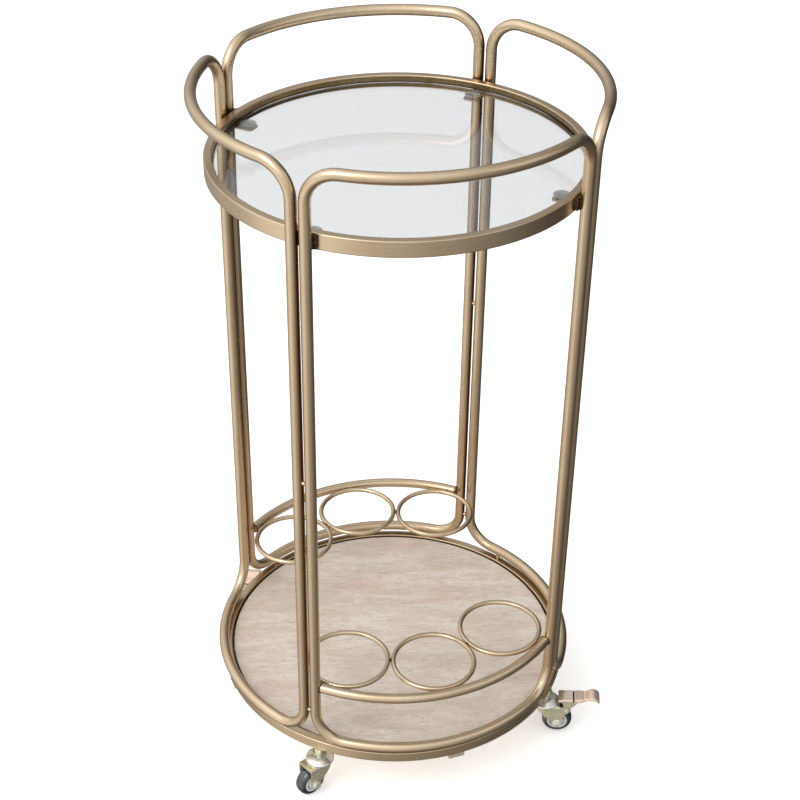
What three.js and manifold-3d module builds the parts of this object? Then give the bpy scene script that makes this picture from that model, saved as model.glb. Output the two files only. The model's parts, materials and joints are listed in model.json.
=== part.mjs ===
// Round two-tier bar cart on four swivel casters. Millimetres, +Z up, front towards -Y.
// The origin is on the floor, under the middle of the cart.
// Azimuths are in degrees, from the front (-Y) towards +X.

import * as THREE from "three";
import { mergeVertices } from "three/addons/utils/BufferGeometryUtils.js";
import Module from "manifold-3d";

const wasm = await Module();
wasm.setup();

// ---------------------------------------------------------------- driving dimensions

const WELD_GAP = 0.3; // left between pieces that touch

// bent tube loops
const TUBE_RADIUS = 6;
const LOOP_RADIUS = 220.5; // the circle that every tube's centre line follows
const LOOP_HEIGHT = 752; // between the centre lines of the top and bottom runs
const LOOP_CORNER_RADIUS = 37;
const LEG_PAIR_GAP = 3.7; // between the two tubes of a double leg
const RAIL_RISE = 72; // top run's centre line above the upper ring

// lower ring, on the casters
const LOWER_RING_OVERHANG = 0.5; // lower ring's outer face past the tubes' circle
const LOWER_RING_WIDTH = 10.5;
const LOWER_RING_HEIGHT = 14;
const STUD_RADIUS = 2;
const STUD_HEIGHT = 4; // between the lower ring and the loops' bottom runs
const STUD_AZIMUTH = 30; // either side of the middle of each loop

// upper ring
const UPPER_RING_STANDOFF = 3.5; // upper ring's outer face to the leg tubes
const UPPER_RING_WIDTH = 9.5;
const UPPER_RING_HEIGHT = 18.5;
const LUG_MARGIN = 3; // lug's end past the leg tubes
const LUG_INSET = 2.2; // lug's top and bottom inside the ring's

// shelves
const GLASS_THICKNESS = 5;
const GLASS_RECESS = 7.5; // upper ring's top down to the glass
const GLASS_EDGE_CLEARANCE = 1.2;
const PANEL_EDGE_CLEARANCE = 2.6;
const PANEL_RECESS = 1.5;
const PAD_RADIUS = 9.2;
const PAD_HEIGHT = 3;
const PAD_SETBACK = 12; // pad's centre to the upper ring's inner face
const TAB_WIDTH = 22;
const TAB_LENGTH = 22;
const TAB_THICKNESS = 2;
const SUPPORT_BAR_WIDTH = 20;
const SUPPORT_BAR_THICKNESS = 6;
const SUPPORT_BAR_SETBACK = 1; // bar's end to the lower ring's outer face
const SUPPORT_CROSS_AZIMUTH = 3;

// bottle galleries
const GALLERY_HEIGHT = 87; // above the lower ring's top
const GALLERY_INSET = 3.5; // gallery rail's centre line inside the tubes' circle
const GALLERY_TUBE_RADIUS = 6;
const BOTTLE_RING_OUTER_RADIUS = 52;
const BOTTLE_WIRE_RADIUS = 3;
const BOTTLE_RING_GAP = 0.8; // bottle ring to its rail, bridged by a weld

// spacers between the two tubes of a leg
const SPACER_RADIUS = 2.5;
const UPPER_SPACER_SHARE = 0.5; // of the way up the loop
const LOWER_SPACER_RISE = 39; // above the loop's bottom run

// casters
const WHEEL_RADIUS = 19;
const TYRE_WIDTH = 17;
const TYRE_CROWN_WIDTH = 8;
const TYRE_BORE_RADIUS = 12.6;
const HUB_BOSS_RADIUS = 7;
const AXLE_RADIUS = 3;
const AXLE_HEAD_RADIUS = 5.4;
const AXLE_HEAD_HEIGHT = 3.4;
const CASTER_TRAIL = 16; // stem's axis to the axle
const CASTER_AZIMUTH_SHIFT = 2.5;
const FORK_PLATE = 1.9;
const FORK_CROWN_CLEARANCE = 7.7; // tyre's top to the fork's top
const FORK_BACK_RADIUS = 13;
const FORK_HOOD_REACH = 23;
const FORK_EYE_RADIUS = 6;
const HUB_SIDE_CLEARANCE = 2;
const STEM_RADIUS = 4;
const STEM_RISE = 19.3; // fork's top to the lower ring
const STEM_DEPTH_IN_RING = 10;
const KINGPIN_HEAD_RADIUS = 6.5;
const KINGPIN_HEAD_HEIGHT = 2;
const CAP_RADIUS = 17.5;
const CAP_RIM_HEIGHT = 2.2;
const CAP_HEIGHT = 5.8;
const CAP_CROWN_RADIUS = 8.5;
const NUT_RADIUS = 7.5;
const NUT_HEIGHT = 6.3;
const RUNNING_GAP = 0.4;

// brake pedals
const BRAKE_PIN_RADIUS = 1.6;
const BRAKE_PIN_LEAD = 10.5; // axle to the pedal's pin
const BRAKE_PIN_DROP = 5.2; // fork's top down to the pin
const BRAKE_EAR_RADIUS = 4;
const PEDAL_CAP_CLEARANCE = 2.5;
const PEDAL_REACH = 68;
const PEDAL_PLATE = 2;
const PEDAL_RISE = 8.3; // above the fork's top
const PEDAL_LIFT = 2.6;
const PEDAL_LIP_DROP = 5;
const TONGUE_WIDTH = 12;
const TONGUE_TYRE_CLEARANCE = 2.3;
const TONGUE_ANGLE = 45.6; // from level, seen from the axle

// facets
const TUBE_SIDES = 10;
const CORNER_STEPS = 5;
const RUN_STEPS = 10;
const HOOP_SEGMENTS = 64;
const WHEEL_SEGMENTS = 24;

// ---------------------------------------------------------------- derived places

const FORK_TOP_Z = 2 * WHEEL_RADIUS + FORK_CROWN_CLEARANCE;
const RING_CLEARANCE_HEIGHT = FORK_TOP_Z + STEM_RISE; // floor to the lower ring's underside
const LOWER_RING_TOP = RING_CLEARANCE_HEIGHT + LOWER_RING_HEIGHT;
const LOWER_RING_OUTER_RADIUS = LOOP_RADIUS + LOWER_RING_OVERHANG;
const LOWER_RING_INNER_RADIUS = LOWER_RING_OUTER_RADIUS - LOWER_RING_WIDTH;
const LOWER_RING_MIDDLE_RADIUS = LOWER_RING_OUTER_RADIUS - LOWER_RING_WIDTH / 2;
const LOOP_BOTTOM_Z = LOWER_RING_TOP + STUD_HEIGHT + TUBE_RADIUS;
const UPPER_SPACER_Z = LOOP_BOTTOM_Z + UPPER_SPACER_SHARE * LOOP_HEIGHT;
const LOWER_SPACER_Z = LOOP_BOTTOM_Z + LOWER_SPACER_RISE;
const UPPER_RING_TOP = LOOP_BOTTOM_Z + LOOP_HEIGHT - RAIL_RISE;
const UPPER_RING_OUTER_RADIUS = LOOP_RADIUS - TUBE_RADIUS - UPPER_RING_STANDOFF;
const UPPER_RING_INNER_RADIUS = UPPER_RING_OUTER_RADIUS - UPPER_RING_WIDTH;
const UPPER_RING_BOTTOM = UPPER_RING_TOP - UPPER_RING_HEIGHT;
const GLASS_BOTTOM = UPPER_RING_TOP - GLASS_RECESS - GLASS_THICKNESS;
const GALLERY_Z = LOWER_RING_TOP + GALLERY_HEIGHT;
const GALLERY_RADIUS = LOOP_RADIUS - GALLERY_INSET;
const LEG_HALF_SPACING = LEG_PAIR_GAP / 2 + TUBE_RADIUS;
const HUB_HALF_WIDTH = TYRE_WIDTH / 2 - 0.3;
const FORK_INNER_HALF = TYRE_WIDTH / 2 + HUB_SIDE_CLEARANCE;
const FORK_OUTER_HALF = FORK_INNER_HALF + FORK_PLATE;
const CAP_BOTTOM = FORK_TOP_Z + RUNNING_GAP;
const BRAKE_PIN_FORWARD = CASTER_TRAIL + BRAKE_PIN_LEAD;
const BRAKE_PIN_Z = FORK_TOP_Z - BRAKE_PIN_DROP;
const PEDAL_START = CAP_RADIUS + PEDAL_CAP_CLEARANCE;
const PEDAL_Z = FORK_TOP_Z + PEDAL_RISE;
const TONGUE_REACH = WHEEL_RADIUS + TONGUE_TYRE_CLEARANCE; // axle to the tongue's near corner

const LOOPS = [
  { name: "front", azimuth: 0 },
  { name: "right", azimuth: 90 },
  { name: "back", azimuth: 180 },
  { name: "left", azimuth: 270 },
];
const CORNERS = [
  { name: "front_left", azimuth: -45, heading: -66.7, braked: false },
  { name: "front_right", azimuth: 45, heading: 68, braked: true },
  { name: "back_right", azimuth: 135, heading: 113.3, braked: false },
  { name: "back_left", azimuth: 225, heading: 160, braked: true },
];

// ---------------------------------------------------------------- materials

const goldTube = { color: 0xa28f70, roughness: 0.38, metalness: 0.85 };
const clearGlass = { color: 0xdfe1e3, roughness: 0.05, metalness: 0 };
const clearPad = { color: 0xd8d8d0, roughness: 0.25, metalness: 0 };
const paleWood = { color: 0xc8baa6, roughness: 0.6, metalness: 0 };
const yellowZinc = { color: 0xa79a6e, roughness: 0.35, metalness: 0.9 };
const copperPlate = { color: 0xa98b70, roughness: 0.4, metalness: 0.85 };
const blackTyre = { color: 0x1d2026, roughness: 0.55, metalness: 0 };
const whiteHub = { color: 0xc9cac8, roughness: 0.4, metalness: 0.2 };

// ---------------------------------------------------------------- geometry helpers

const radians = THREE.MathUtils.degToRad;
const degrees = THREE.MathUtils.radToDeg;

/** A point at a radius, an azimuth in degrees and a height. */
function polar(radius, azimuth, z) {
  const angle = radians(azimuth);
  return new THREE.Vector3(radius * Math.sin(angle), -radius * Math.cos(angle), z);
}

/** Turns a closed geometry into a solid that can be joined and cut. */
function solidOf(geometry) {
  const bare = geometry.index ? geometry.toNonIndexed() : geometry.clone();
  bare.deleteAttribute("normal");
  bare.deleteAttribute("uv");
  const merged = mergeVertices(bare, 1e-4);
  return new wasm.Manifold(
    new wasm.Mesh({
      numProp: 3,
      vertProperties: new Float32Array(merged.attributes.position.array),
      triVerts: new Uint32Array(merged.index.array),
    }),
  );
}

/** Turns a solid back into a geometry. */
function geometryOf(solid) {
  const mesh = solid.getMesh();
  const geometry = new THREE.BufferGeometry();
  const places = new Float32Array(mesh.numVert * 3);
  for (let vertex = 0; vertex < mesh.numVert; vertex += 1) {
    for (let axis = 0; axis < 3; axis += 1) {
      places[3 * vertex + axis] = mesh.vertProperties[mesh.numProp * vertex + axis];
    }
  }
  geometry.setAttribute("position", new THREE.BufferAttribute(places, 3));
  geometry.setIndex(new THREE.BufferAttribute(new Uint32Array(mesh.triVerts), 1));
  geometry.computeVertexNormals();
  return geometry;
}

/** Joins closed geometries into one. */
function join(...geometries) {
  return geometryOf(geometries.map(solidOf).reduce((whole, piece) => whole.add(piece)));
}

/** Cuts closed geometries out of the first one. */
function cut(body, ...tools) {
  return geometryOf(tools.map(solidOf).reduce((whole, tool) => whole.subtract(tool), solidOf(body)));
}

/** An upright cylinder from a lowest to a highest level. */
function uprightCylinder(radius, bottom, top, sides) {
  const cylinder = new THREE.CylinderGeometry(radius, radius, top - bottom, sides);
  return cylinder.rotateX(Math.PI / 2).translate(0, 0, (bottom + top) / 2);
}

/** A cylinder along Y, centred on y = 0. */
function crossCylinder(radius, length, x, z, sides) {
  return new THREE.CylinderGeometry(radius, radius, length, sides).translate(x, 0, z);
}

/** A box given by its lowest and highest corners. */
function boxBetween(low, high) {
  const size = low.map((value, axis) => high[axis] - value);
  const centre = low.map((value, axis) => (high[axis] + value) / 2);
  return new THREE.BoxGeometry(...size).translate(...centre);
}

/** A flat hoop with a rectangular section. */
function hoop(innerRadius, outerRadius, bottom, top) {
  const outline = new THREE.Shape().absarc(0, 0, outerRadius, 0, 2 * Math.PI);
  outline.holes.push(new THREE.Path().absarc(0, 0, innerRadius, 0, 2 * Math.PI));
  const options = { depth: top - bottom, bevelEnabled: false, curveSegments: HOOP_SEGMENTS / 2 };
  return new THREE.ExtrudeGeometry(outline, options).translate(0, 0, bottom);
}

/** A body turned about the Z axis from [radius, z] points that run from its bottom to its top. */
function turned(profile, segments) {
  const points = profile.map(([radius, z]) => new THREE.Vector2(radius, z));
  return new THREE.LatheGeometry(points, segments).rotateX(Math.PI / 2);
}

/** A curve through stations whose places and directions are both known. */
class StationCurve extends THREE.Curve {
  constructor(stations) {
    super();
    this.stations = stations;
  }

  station(share) {
    return this.stations[Math.round(share * (this.stations.length - 1))];
  }

  getPoint(share, target = new THREE.Vector3()) {
    return target.copy(this.station(share).place);
  }

  getPointAt(share, target) {
    return this.getPoint(share, target);
  }

  getTangentAt(share, target = new THREE.Vector3()) {
    return target.copy(this.station(share).direction);
  }
}

/** A station on the cart's cylinder, from an arc length, a height and a heading on the unrolled sheet. */
function wrappedStation(radius, along, z, heading) {
  const angle = along / radius;
  const tangent = new THREE.Vector3(Math.cos(angle), Math.sin(angle), 0);
  const direction = tangent.multiplyScalar(Math.cos(heading)).setZ(Math.sin(heading));
  return { place: new THREE.Vector3(radius * Math.sin(angle), -radius * Math.cos(angle), z), direction };
}

// ---------------------------------------------------------------- frame

/** Half of the arc between the two leg tubes of one loop. */
function loopHalfArc() {
  return LOOP_RADIUS * (Math.PI / 4) - LEG_HALF_SPACING;
}

/** The centre line of a loop: a rounded rectangle rolled onto the cart's cylinder. */
function loopStations() {
  const half = loopHalfArc();
  const top = LOOP_BOTTOM_Z + LOOP_HEIGHT;
  const flat = half - LOOP_CORNER_RADIUS;
  const stations = [];
  const corners = [
    { x: flat, z: LOOP_BOTTOM_Z + LOOP_CORNER_RADIUS, from: -90 },
    { x: flat, z: top - LOOP_CORNER_RADIUS, from: 0 },
    { x: -flat, z: top - LOOP_CORNER_RADIUS, from: 90 },
    { x: -flat, z: LOOP_BOTTOM_Z + LOOP_CORNER_RADIUS, from: 180 },
  ];
  const addRun = (z, side) => {
    for (let step = 1; step < RUN_STEPS; step += 1) {
      const along = side * flat * ((2 * step) / RUN_STEPS - 1);
      stations.push(wrappedStation(LOOP_RADIUS, along, z, side > 0 ? 0 : Math.PI));
    }
  };
  const addCorner = ({ x, z, from }) => {
    for (let step = 0; step <= CORNER_STEPS; step += 1) {
      const turn = radians(from + (90 * step) / CORNER_STEPS);
      const along = x + LOOP_CORNER_RADIUS * Math.cos(turn);
      const height = z + LOOP_CORNER_RADIUS * Math.sin(turn);
      stations.push(wrappedStation(LOOP_RADIUS, along, height, turn + Math.PI / 2));
    }
  };
  addRun(LOOP_BOTTOM_Z, 1);
  addCorner(corners[0]);
  addCorner(corners[1]);
  addRun(top, -1);
  addCorner(corners[2]);
  addCorner(corners[3]);
  stations.push(stations[0]);
  return stations;
}

/** One bent-tube loop with the two studs under its bottom run. */
function loopGeometry() {
  const curve = new StationCurve(loopStations());
  const steps = curve.stations.length - 1;
  const tube = new THREE.TubeGeometry(curve, steps, TUBE_RADIUS, TUBE_SIDES, true);
  const studs = [-STUD_AZIMUTH, STUD_AZIMUTH].map((azimuth) => {
    const foot = polar(LOOP_RADIUS - TUBE_RADIUS / 3, azimuth, 0);
    const stud = uprightCylinder(STUD_RADIUS, LOWER_RING_TOP + WELD_GAP, LOOP_BOTTOM_Z, 8);
    return stud.translate(foot.x, foot.y, 0);
  });
  return join(tube, ...studs);
}

/** The upper ring, with a lug behind each double leg. */
function upperRingGeometry() {
  const ring = hoop(UPPER_RING_INNER_RADIUS, UPPER_RING_OUTER_RADIUS, UPPER_RING_BOTTOM, UPPER_RING_TOP);
  const half = LEG_HALF_SPACING + TUBE_RADIUS + LUG_MARGIN;
  const inner = -(UPPER_RING_OUTER_RADIUS + UPPER_RING_INNER_RADIUS) / 2;
  const outer = -Math.sqrt(LOOP_RADIUS ** 2 - LEG_HALF_SPACING ** 2) + TUBE_RADIUS + WELD_GAP;
  const lugs = CORNERS.map(({ azimuth }) =>
    boxBetween(
      [-half, outer, UPPER_RING_BOTTOM + LUG_INSET],
      [half, inner, UPPER_RING_TOP - LUG_INSET],
    ).rotateZ(radians(azimuth)),
  );
  return join(ring, ...lugs);
}

/** The lower ring, with a blind hole for each caster's stem. */
function lowerRingGeometry() {
  const ring = hoop(
    LOWER_RING_INNER_RADIUS,
    LOWER_RING_OUTER_RADIUS,
    RING_CLEARANCE_HEIGHT,
    LOWER_RING_TOP,
  );
  const holes = CORNERS.map(({ azimuth }) => {
    const place = polar(LOWER_RING_MIDDLE_RADIUS, azimuth + CASTER_AZIMUTH_SHIFT, 0);
    const holeTop = RING_CLEARANCE_HEIGHT + STEM_DEPTH_IN_RING + WELD_GAP;
    const hole = uprightCylinder(STEM_RADIUS + WELD_GAP, RING_CLEARANCE_HEIGHT - 1, holeTop, 12);
    return hole.translate(place.x, place.y, 0);
  });
  return cut(ring, ...holes);
}

/** Two flat bars welded into a cross under the panel. */
function supportCrossGeometry() {
  const reach = LOWER_RING_OUTER_RADIUS - SUPPORT_BAR_SETBACK;
  const top = RING_CLEARANCE_HEIGHT - WELD_GAP;
  const half = SUPPORT_BAR_WIDTH / 2;
  const bottom = top - SUPPORT_BAR_THICKNESS;
  return join(
    boxBetween([-half, -reach, bottom], [half, reach, top]),
    boxBetween([-reach, -half, bottom], [reach, half, top]),
  );
}

/** A tab on the upper ring's inner face, at the front before it is turned into place. */
function tabGeometry() {
  const outer = -Math.sqrt(UPPER_RING_INNER_RADIUS ** 2 - (TAB_WIDTH / 2) ** 2) + WELD_GAP + 0.3;
  return boxBetween(
    [-TAB_WIDTH / 2, outer, UPPER_RING_BOTTOM],
    [TAB_WIDTH / 2, outer + TAB_LENGTH, UPPER_RING_BOTTOM + TAB_THICKNESS],
  );
}

/** A suction pad between its tab and the glass, at the front before it is turned into place. */
function padGeometry() {
  const top = GLASS_BOTTOM - WELD_GAP;
  const pad = turned(
    [
      [0, top - PAD_HEIGHT],
      [PAD_RADIUS * 0.75, top - PAD_HEIGHT],
      [PAD_RADIUS, top - PAD_HEIGHT * 0.4],
      [PAD_RADIUS, top],
      [0, top],
    ],
    16,
  );
  return pad.translate(0, -(UPPER_RING_INNER_RADIUS - PAD_SETBACK), 0);
}

/** A spacer between the two tubes of a leg, at the front before it is turned into place. */
function spacerGeometry(z) {
  const length = LEG_PAIR_GAP - 2 * WELD_GAP;
  const bar = new THREE.CylinderGeometry(SPACER_RADIUS, SPACER_RADIUS, length, 10);
  return bar.rotateZ(Math.PI / 2).translate(0, -LOOP_RADIUS, z);
}

// ---------------------------------------------------------------- bottle galleries

/** A gallery rail from one leg tube to the other. */
function galleryRailGeometry() {
  const endAngle = loopHalfArc() / LOOP_RADIUS - (TUBE_RADIUS + WELD_GAP) / GALLERY_RADIUS;
  const stations = [];
  for (let step = 0; step <= RUN_STEPS; step += 1) {
    const along = GALLERY_RADIUS * endAngle * ((2 * step) / RUN_STEPS - 1);
    stations.push(wrappedStation(GALLERY_RADIUS, along, GALLERY_Z, 0));
  }
  const section = new THREE.Shape().absarc(0, 0, GALLERY_TUBE_RADIUS, 0, 2 * Math.PI);
  const options = {
    extrudePath: new StationCurve(stations),
    steps: RUN_STEPS,
    curveSegments: TUBE_SIDES / 2,
    bevelEnabled: false,
  };
  return new THREE.ExtrudeGeometry(section, options);
}

/** The azimuths of the three bottle rings of a gallery, which touch each other and the rail. */
function bottleRingPlaces() {
  const radius = GALLERY_RADIUS - GALLERY_TUBE_RADIUS - BOTTLE_RING_GAP - BOTTLE_RING_OUTER_RADIUS;
  const spacing = 2 * BOTTLE_RING_OUTER_RADIUS + WELD_GAP;
  const step = degrees(2 * Math.asin(spacing / 2 / radius));
  return [-step, 0, step].map((azimuth) => polar(radius, azimuth, GALLERY_Z));
}

/** A round wire that holds one bottle. */
function bottleRingGeometry() {
  return new THREE.TorusGeometry(BOTTLE_RING_OUTER_RADIUS - BOTTLE_WIRE_RADIUS, BOTTLE_WIRE_RADIUS, 6, 28);
}

// ---------------------------------------------------------------- casters
// A caster is drawn with its stem on the Z axis and its wheel on the +X side.

/** Stem, hex nut, domed raceway cap and riveted kingpin, all fixed to the lower ring. */
function stemGeometry() {
  const headTop = FORK_TOP_Z - FORK_PLATE - RUNNING_GAP;
  const capTop = CAP_BOTTOM + CAP_HEIGHT;
  const stemTop = RING_CLEARANCE_HEIGHT + STEM_DEPTH_IN_RING;
  const nutTop = RING_CLEARANCE_HEIGHT - WELD_GAP;
  const body = turned(
    [
      [0, headTop - KINGPIN_HEAD_HEIGHT],
      [KINGPIN_HEAD_RADIUS, headTop - KINGPIN_HEAD_HEIGHT],
      [KINGPIN_HEAD_RADIUS, headTop],
      [STEM_RADIUS, headTop],
      [STEM_RADIUS, CAP_BOTTOM],
      [CAP_RADIUS, CAP_BOTTOM],
      [CAP_RADIUS, CAP_BOTTOM + CAP_RIM_HEIGHT],
      [CAP_CROWN_RADIUS, capTop],
      [STEM_RADIUS, capTop],
      [STEM_RADIUS, stemTop],
      [0, stemTop],
    ],
    20,
  );
  return join(body, uprightCylinder(NUT_RADIUS, nutTop - NUT_HEIGHT, nutTop, 6));
}

/** One side plate of the fork, from its top edge down to the axle's eye, along Y from 0. */
function forkSidePlate(braked) {
  const topEdge = FORK_TOP_Z - FORK_PLATE / 2;
  const reach = braked ? BRAKE_PIN_FORWARD + BRAKE_EAR_RADIUS : FORK_HOOD_REACH;
  const outline = new THREE.Shape();
  outline.moveTo(-FORK_BACK_RADIUS, topEdge);
  outline.lineTo(-FORK_BACK_RADIUS, topEdge - 4);
  outline.lineTo(CASTER_TRAIL - FORK_EYE_RADIUS, WHEEL_RADIUS);
  outline.absarc(CASTER_TRAIL, WHEEL_RADIUS, FORK_EYE_RADIUS, Math.PI, 2 * Math.PI, false);
  outline.lineTo(FORK_HOOD_REACH - 0.5, BRAKE_PIN_Z - 8);
  outline.lineTo(reach, BRAKE_PIN_Z - BRAKE_EAR_RADIUS + 1);
  outline.lineTo(reach, topEdge);
  const holes = [[CASTER_TRAIL, WHEEL_RADIUS, AXLE_RADIUS + WELD_GAP]];
  if (braked) {
    holes.push([BRAKE_PIN_FORWARD, BRAKE_PIN_Z, BRAKE_PIN_RADIUS + WELD_GAP]);
  }
  for (const [x, z, radius] of holes) {
    outline.holes.push(new THREE.Path().absarc(x, z, radius, 0, 2 * Math.PI));
  }
  const options = { depth: FORK_PLATE, bevelEnabled: false, curveSegments: 6 };
  return new THREE.ExtrudeGeometry(outline, options).rotateX(Math.PI / 2).translate(0, FORK_PLATE, 0);
}

/** The fork: a top plate with a round back, two side plates and the kingpin's hole. */
function forkGeometry(braked) {
  const front = braked ? PEDAL_START - 2 : FORK_HOOD_REACH;
  const plate = new THREE.Shape();
  plate.moveTo(front, -FORK_OUTER_HALF);
  plate.lineTo(front, FORK_OUTER_HALF);
  plate.lineTo(0, FORK_OUTER_HALF);
  plate.absellipse(0, 0, FORK_BACK_RADIUS + 3, FORK_OUTER_HALF, Math.PI / 2, (3 * Math.PI) / 2, false);
  plate.holes.push(new THREE.Path().absarc(0, 0, STEM_RADIUS + RUNNING_GAP, 0, 2 * Math.PI));
  const options = { depth: FORK_PLATE, bevelEnabled: false, curveSegments: 6 };
  const top = new THREE.ExtrudeGeometry(plate, options).translate(0, 0, FORK_TOP_Z - FORK_PLATE);
  const nearSide = forkSidePlate(braked).translate(0, -FORK_OUTER_HALF, 0);
  const farSide = forkSidePlate(braked).translate(0, FORK_INNER_HALF, 0);
  return join(top, nearSide, farSide);
}

/** Turns a body that was drawn about the Z axis onto the wheel's axis. */
function ontoAxle(geometry) {
  return geometry.rotateX(Math.PI / 2).translate(CASTER_TRAIL, 0, WHEEL_RADIUS);
}

/** The tyre, with its rounded shoulders. */
function tyreGeometry() {
  const half = TYRE_WIDTH / 2;
  const crown = TYRE_CROWN_WIDTH / 2;
  const shoulder = WHEEL_RADIUS - 3;
  const profile = [
    [TYRE_BORE_RADIUS, 1 - half],
    [shoulder, -half],
    [WHEEL_RADIUS, -crown],
    [WHEEL_RADIUS, crown],
    [shoulder, half],
    [TYRE_BORE_RADIUS, half - 1],
    [TYRE_BORE_RADIUS, 1 - half],
  ];
  return ontoAxle(turned(profile, WHEEL_SEGMENTS));
}

/** The hub inside the tyre, bored for the axle. */
function hubGeometry() {
  const rim = TYRE_BORE_RADIUS - WELD_GAP;
  const rimHalf = TYRE_WIDTH / 2 - 1.2;
  const bore = AXLE_RADIUS + WELD_GAP;
  const profile = [
    [bore, -HUB_HALF_WIDTH],
    [HUB_BOSS_RADIUS, -HUB_HALF_WIDTH],
    [rim, -rimHalf],
    [rim, rimHalf],
    [HUB_BOSS_RADIUS, HUB_HALF_WIDTH],
    [bore, HUB_HALF_WIDTH],
    [bore, -HUB_HALF_WIDTH],
  ];
  return ontoAxle(turned(profile, WHEEL_SEGMENTS));
}

/** The axle bolt with its head on one side and its nut on the other. */
function axleGeometry() {
  const inner = FORK_OUTER_HALF + WELD_GAP;
  const outer = inner + AXLE_HEAD_HEIGHT;
  const profile = [
    [0, -outer],
    [AXLE_HEAD_RADIUS, -outer],
    [AXLE_HEAD_RADIUS, -inner],
    [AXLE_RADIUS, -inner],
    [AXLE_RADIUS, inner],
    [AXLE_HEAD_RADIUS, inner],
    [AXLE_HEAD_RADIUS, outer],
    [0, outer],
  ];
  return ontoAxle(turned(profile, 12));
}

/** The pin that the brake pedal rocks on. */
function brakePinGeometry() {
  const length = 2 * (FORK_OUTER_HALF + 0.8);
  return crossCylinder(BRAKE_PIN_RADIUS, length, BRAKE_PIN_FORWARD, BRAKE_PIN_Z, 10);
}

/** The brake pedal: a pressed plate with a turned-down lip, two ears on the pin and a tongue over the tyre. */
function pedalGeometry() {
  const half = FORK_INNER_HALF - WELD_GAP;
  const knee = PEDAL_START + 0.55 * (PEDAL_REACH - PEDAL_START);
  const crest = PEDAL_REACH - PEDAL_LIP_DROP;
  const high = PEDAL_Z + PEDAL_LIFT;
  const side = new THREE.Shape();
  side.moveTo(PEDAL_START, PEDAL_Z);
  side.lineTo(knee, PEDAL_Z);
  side.lineTo(crest, high);
  side.lineTo(PEDAL_REACH - PEDAL_PLATE, high - PEDAL_LIP_DROP);
  side.lineTo(PEDAL_REACH, high - PEDAL_LIP_DROP);
  side.lineTo(crest + PEDAL_PLATE / 2, high + PEDAL_PLATE);
  side.lineTo(crest - PEDAL_PLATE, high + PEDAL_PLATE);
  side.lineTo(knee, PEDAL_Z + PEDAL_PLATE);
  side.lineTo(PEDAL_START, PEDAL_Z + PEDAL_PLATE);
  const options = { depth: 2 * half, bevelEnabled: false };
  const plate = new THREE.ExtrudeGeometry(side, options).rotateX(Math.PI / 2).translate(0, half, 0);
  const ears = [-half, half - FORK_PLATE].map((y) => {
    const low = [BRAKE_PIN_FORWARD - BRAKE_EAR_RADIUS, y, BRAKE_PIN_Z - 3];
    return boxBetween(low, [BRAKE_PIN_FORWARD + BRAKE_EAR_RADIUS, y + FORK_PLATE, PEDAL_Z + 1]);
  });
  const tongueFront = CASTER_TRAIL + TONGUE_REACH * Math.cos(radians(TONGUE_ANGLE));
  const tongueTip = WHEEL_RADIUS + TONGUE_REACH * Math.sin(radians(TONGUE_ANGLE));
  const tongue = boxBetween(
    [tongueFront, -TONGUE_WIDTH / 2, tongueTip],
    [tongueFront + PEDAL_PLATE, TONGUE_WIDTH / 2, PEDAL_Z + 1],
  );
  const bore = crossCylinder(BRAKE_PIN_RADIUS + WELD_GAP, 3 * half, BRAKE_PIN_FORWARD, BRAKE_PIN_Z, 10);
  return cut(join(plate, ...ears, tongue), bore);
}

// ---------------------------------------------------------------- assembly

const cart = new THREE.Group();

/** Adds a named mesh to a group and returns it. */
function add(group, name, geometry, finish) {
  const mesh = new THREE.Mesh(geometry, new THREE.MeshStandardMaterial(finish));
  mesh.name = name;
  group.add(mesh);
  return mesh;
}

/** A group turned to an azimuth about the cart's axis. */
function turnedGroup(azimuth) {
  const group = new THREE.Group();
  group.rotation.z = radians(azimuth);
  cart.add(group);
  return group;
}

function addFrame() {
  for (const { name, azimuth } of LOOPS) {
    add(turnedGroup(azimuth), `loop_${name}`, loopGeometry(), goldTube);
  }
  add(cart, "upper_ring", upperRingGeometry(), goldTube);
  add(cart, "lower_ring", lowerRingGeometry(), goldTube);
  for (const { name, azimuth } of CORNERS) {
    const corner = turnedGroup(azimuth);
    add(corner, `leg_spacer_${name}_upper`, spacerGeometry(UPPER_SPACER_Z), goldTube);
    add(corner, `leg_spacer_${name}_lower`, spacerGeometry(LOWER_SPACER_Z), goldTube);
    add(corner, `glass_tab_${name}`, tabGeometry(), goldTube);
    add(corner, `glass_pad_${name}`, padGeometry(), clearPad);
  }
}

function addShelves() {
  const glassRadius = UPPER_RING_INNER_RADIUS - GLASS_EDGE_CLEARANCE;
  const glass = uprightCylinder(glassRadius, GLASS_BOTTOM, GLASS_BOTTOM + GLASS_THICKNESS, HOOP_SEGMENTS);
  add(cart, "glass_top", glass, clearGlass);
  const panelRadius = LOWER_RING_INNER_RADIUS - PANEL_EDGE_CLEARANCE;
  const panelTop = LOWER_RING_TOP - PANEL_RECESS;
  const panel = uprightCylinder(panelRadius, RING_CLEARANCE_HEIGHT, panelTop, HOOP_SEGMENTS);
  add(cart, "lower_panel", panel, paleWood);
  add(turnedGroup(SUPPORT_CROSS_AZIMUTH), "panel_support_cross", supportCrossGeometry(), yellowZinc);
}

function addGalleries() {
  for (const { name, azimuth } of LOOPS.filter((loop) => loop.azimuth % 180 === 0)) {
    const side = turnedGroup(azimuth);
    add(side, `gallery_rail_${name}`, galleryRailGeometry(), goldTube);
    bottleRingPlaces().forEach((place, index) => {
      const ring = add(side, `bottle_ring_${name}_${index + 1}`, bottleRingGeometry(), goldTube);
      ring.position.copy(place);
    });
  }
}

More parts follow.
